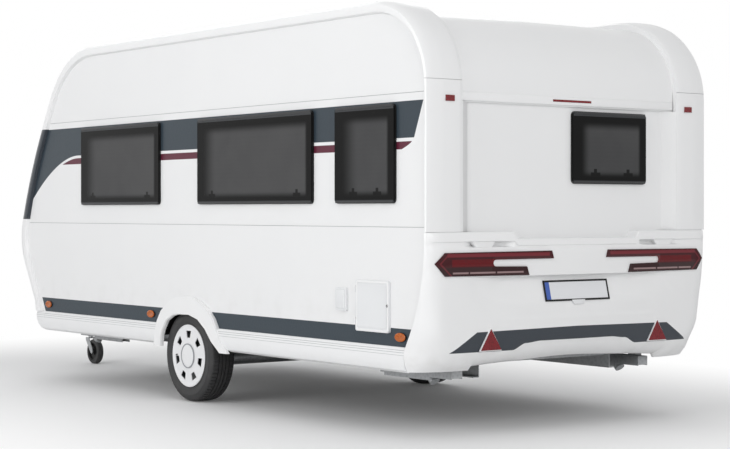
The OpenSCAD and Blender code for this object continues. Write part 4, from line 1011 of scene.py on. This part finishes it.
def makeRoofHatchDetails():
    # folded frame under each roof dome
    hatch = {"small": (1.450, 0.230), "large": (3.200, 0.380), "foot": 2.4892}
    for name, (x, half) in (("roofFrameSmall", hatch["small"]), ("roofFrameLarge", hatch["large"])):
        frame = startBlock(name, (along(x) - half - 0.012, -half - 0.012, hatch["foot"]),
                           (along(x) + half + 0.012, half + 0.012, hatch["foot"] + 0.009))
        pick(lambda at, way: way.z > 0.9)
        bpy.ops.mesh.inset(thickness=0.010)
        bpy.ops.transform.translate(value=(0, 0, 0.003))
        finish(frame, "white_plastic", "caravan", bevel=0.002)
        ribs = []
        for offset in (-0.30, 0.0, 0.30):
            rib = startBlock("roofRib", (along(x) - half * 0.74, offset * half * 1.6 - 0.008, hatch["foot"] + 0.0405),
                             (along(x) + half * 0.74, offset * half * 1.6 + 0.008, hatch["foot"] + 0.0440))
            pick(lambda at, way: way.z > 0.9)
            resize((0.985, 0.5, 1), (along(x), offset * half * 1.6, 2.53))
            clearSelection()
            ribs.append(rib)
        finish(joined(ribs, name.replace("Frame", "Ribs")), "hatch_acrylic", "caravan", bevel=0.0008)


def makeFrontHandles():
    # grab handles low at the front corners: a bent bar on two feet
    handle = {"y": 0.822, "z": (0.760, 1.000), "out": 0.052, "radius": 0.011}
    xLow, xHigh = 5.0343, 5.1660                       # the front wall's face at the two feet
    grabs = []
    for side in (-1, 1):
        y = side * handle["y"]
        lean = Vector((xHigh - xLow, 0, handle["z"][1] - handle["z"][0])).normalized()
        out = Vector((lean.z, 0, -lean.x))
        foot = Vector((along(xLow), y, handle["z"][0]))
        head = Vector((along(xHigh), y, handle["z"][1]))
        ring = [foot + Vector((0, handle["radius"] * math.cos(a), 0)) + lean * handle["radius"] * math.sin(a)
                for a in [2 * math.pi * k / 16 for k in range(16)]]
        bar = startOutline("grabHandle", [point - out * 0.002 for point in ring])
        bpy.ops.mesh.select_all(action="SELECT")
        extrude(tuple(out * (handle["out"] - 0.020)))
        corner = foot + out * (handle["out"] - 0.020) + lean * 0.022
        for step in range(4):
            bpy.ops.mesh.extrude_region_move(TRANSFORM_OT_translate={"value": (0, 0, 0)})
            turnAbout(corner, math.radians(22.5), side)
        extrude(tuple(head - foot - lean * 0.044))
        corner = corner + (head - foot - lean * 0.044)
        for step in range(4):
            bpy.ops.mesh.extrude_region_move(TRANSFORM_OT_translate={"value": (0, 0, 0)})
            turnAbout(corner, math.radians(22.5), side)
        extrude(tuple(-out * (handle["out"] - 0.018)))
        clearSelection()
        grabs.append(bar)
    finish(joined(grabs, "frontHandles"), "white_plastic", "caravan", angle=50)


def turnAbout(corner, angle, side):
    # turns what is selected in edit mode about a line along Y
    mesh = bmesh.from_edit_mesh(bpy.context.edit_object.data)
    chosen = [part for part in mesh.verts if part.select]
    bmesh.ops.rotate(mesh, cent=corner, matrix=Matrix.Rotation(angle, 3, "Y"), verts=chosen)
    bmesh.update_edit_mesh(bpy.context.edit_object.data)


def makeJockeyDetails():
    # tyre with a groove round its middle, and the dished hub of the jockey wheel
    wheel = {"middle": (along(5.715), 0.193, 0.104), "half": 0.026}
    cx, cy, cz = wheel["middle"]
    profile = [(0.0765, -0.0135), (0.0765, -0.0262), (0.098, -0.0262), (0.1036, -0.0190), (0.1040, -0.0060),
               (0.1012, -0.0045), (0.1012, 0.0045), (0.1040, 0.0060), (0.1036, 0.0190), (0.098, 0.0262),
               (0.0765, 0.0262), (0.0765, 0.0135)]
    band = startOutline("jockeyTyre", [(cx + r, cy + y, cz) for r, y in profile], filled=False)
    bpy.ops.mesh.select_all(action="SELECT")
    bpy.ops.mesh.spin(steps=64, angle=2 * math.pi, center=wheel["middle"], axis=(0, 1, 0))
    finish(band, "tyre_rubber", "jockey_roller", angle=35)
    disc = startRound("jockeyHub", wheel["middle"], 0.0768, 0.046, "Y", 48)
    for sign in (-1, 1):
        pick(lambda at, way: way.y * sign > 0.9)
        bpy.ops.mesh.inset(thickness=0.010)
        extrude((0, -sign * 0.011, 0))
        bpy.ops.mesh.inset(thickness=0.040)
        extrude((0, sign * 0.011, 0))
        bpy.ops.mesh.inset(thickness=0.006)
    finish(disc, "black_plastic", "jockey_roller", bevel=0.001, hides=["jockey_wheel"])


makeTyres()
makeWheelTrim()
print("wheels dressed")
makeWindowRails()
makeReflectors()
makePlateFrame()
makeServiceHatch()
makeVentGrilles()
makeSideMarkers()
makeTailLamps()
makeRearBar()
print("sides and rear dressed")
makeDoorDetails()
makeDoorLamp()
makeLockerDetails()
makeRoofHatchDetails()
makeFrontHandles()
makeJockeyDetails()
print("front, roof and door dressed")


# stage, camera and light
def makeStage():
    stage = {"size": 160.0, "world": 0.55, "near": 0.2, "far": 3.4, "footX": 2.7, "footY": 0.9, "lift": 0.045}
    bpy.ops.object.select_all(action="DESELECT")
    bpy.ops.mesh.primitive_plane_add(size=stage["size"], location=(0, 0, 0))
    floor = bpy.context.active_object
    floor.name = "floor"
    shader = Shader("floorPaint", (0.90, 0.90, 0.90), 0.9, shine=0.1)
    x, y, z = shader.xyz()
    grain = shader.noise(5.0, 4.0)
    shader.put("Base Color", shader.mix(grain * 0.2, (0.92, 0.92, 0.92), (0.88, 0.88, 0.88)))
    # beyond the shadow the floor runs into the white backdrop
    overX = (x.maths("ABSOLUTE") - stage["footX"]).maths("MAXIMUM", 0.0)
    overY = (y.maths("ABSOLUTE") - stage["footY"]).maths("MAXIMUM", 0.0)
    distance = (overX * overX + overY * overY) ** 0.5
    away = (distance.ramp(stage["near"], stage["far"]) + stage["lift"]).maths("MINIMUM", 1.0)
    seen = shader.node("ShaderNodeLightPath", output=0)
    white = shader.node("ShaderNodeEmission", None, {"Color": (1, 1, 1, 1), "Strength": 1.0})
    both = shader.node("ShaderNodeMixShader", None, {0: away * seen})
    shader.tree.links.new(shader.surface.outputs[0], both.socket.node.inputs[1])
    shader.tree.links.new(white.socket, both.socket.node.inputs[2])
    out = [n for n in shader.tree.nodes if n.type == "OUTPUT_MATERIAL"][0]
    shader.tree.links.new(both.socket, out.inputs[0])
    floor.data.materials.append(shader.material)
    world = bpy.data.worlds.new("studio")
    bpy.context.scene.world = world
    world.use_nodes = True
    tree = world.node_tree
    tree.nodes.clear()
    path = tree.nodes.new("ShaderNodeLightPath")
    mirrored = tree.nodes.new("ShaderNodeMath")
    mirrored.operation = "MAXIMUM"
    tree.links.new(path.outputs["Is Glossy Ray"], mirrored.inputs[0])
    tree.links.new(path.outputs["Is Transmission Ray"], mirrored.inputs[1])
    direct = tree.nodes.new("ShaderNodeMath")
    direct.operation = "MAXIMUM"
    tree.links.new(path.outputs["Is Camera Ray"], direct.inputs[0])
    tree.links.new(mirrored.outputs[0], direct.inputs[1])
    soft = tree.nodes.new("ShaderNodeBackground")
    soft.inputs[0].default_value = (0.985, 0.99, 1.0, 1)
    soft.inputs[1].default_value = stage["world"]
    white = tree.nodes.new("ShaderNodeBackground")
    white.inputs[0].default_value = (1, 1, 1, 1)
    white.inputs[1].default_value = 1.0
    blend = tree.nodes.new("ShaderNodeMixShader")
    out = tree.nodes.new("ShaderNodeOutputWorld")
    tree.links.new(direct.outputs[0], blend.inputs[0])
    tree.links.new(soft.outputs[0], blend.inputs[1])
    tree.links.new(white.outputs[0], blend.inputs[2])
    tree.links.new(blend.outputs[0], out.inputs[0])
    for label, place, size, power, target in (
            ("keyLight", (-2.0, 12.0, 4.4), 8.0, 520.0, (0, 0, 1.2)),
            ("rearLight", (-12.5, 4.0, 5.4), 6.0, 330.0, (-3, 0, 1.2)),
            ("frontLight", (10.0, -6.0, 8.0), 9.0, 290.0, (1, 0, 1.2))):
        lamp = bpy.data.lights.new(label, "AREA")
        lamp.energy = power
        lamp.size = size
        holder = bpy.data.objects.new(label, lamp)
        bpy.context.scene.collection.objects.link(holder)
        holder.location = place
        holder.rotation_euler = (Vector(target) - Vector(place)).to_track_quat("-Z", "Y").to_euler()


def makeCamera():
    view = {"x": -7.61866, "y": 7.29567, "z": 1.3122, "yaw": 36.86, "pitch": -0.05,
            "lens": 85.76, "shiftY": -0.01696}
    camera = bpy.data.cameras.new("photoView")
    camera.sensor_width = 36.0
    camera.lens = view["lens"]
    camera.shift_y = view["shiftY"]
    holder = bpy.data.objects.new("photoView", camera)
    bpy.context.scene.collection.objects.link(holder)
    holder.location = (along(view["x"]), view["y"], view["z"])
    holder.rotation_euler = (math.radians(90 + view["pitch"]), 0, -math.radians(90 + view["yaw"]))
    bpy.context.scene.camera = holder


makeStage()
makeCamera()
bpy.context.scene.view_settings.view_transform = "Standard"
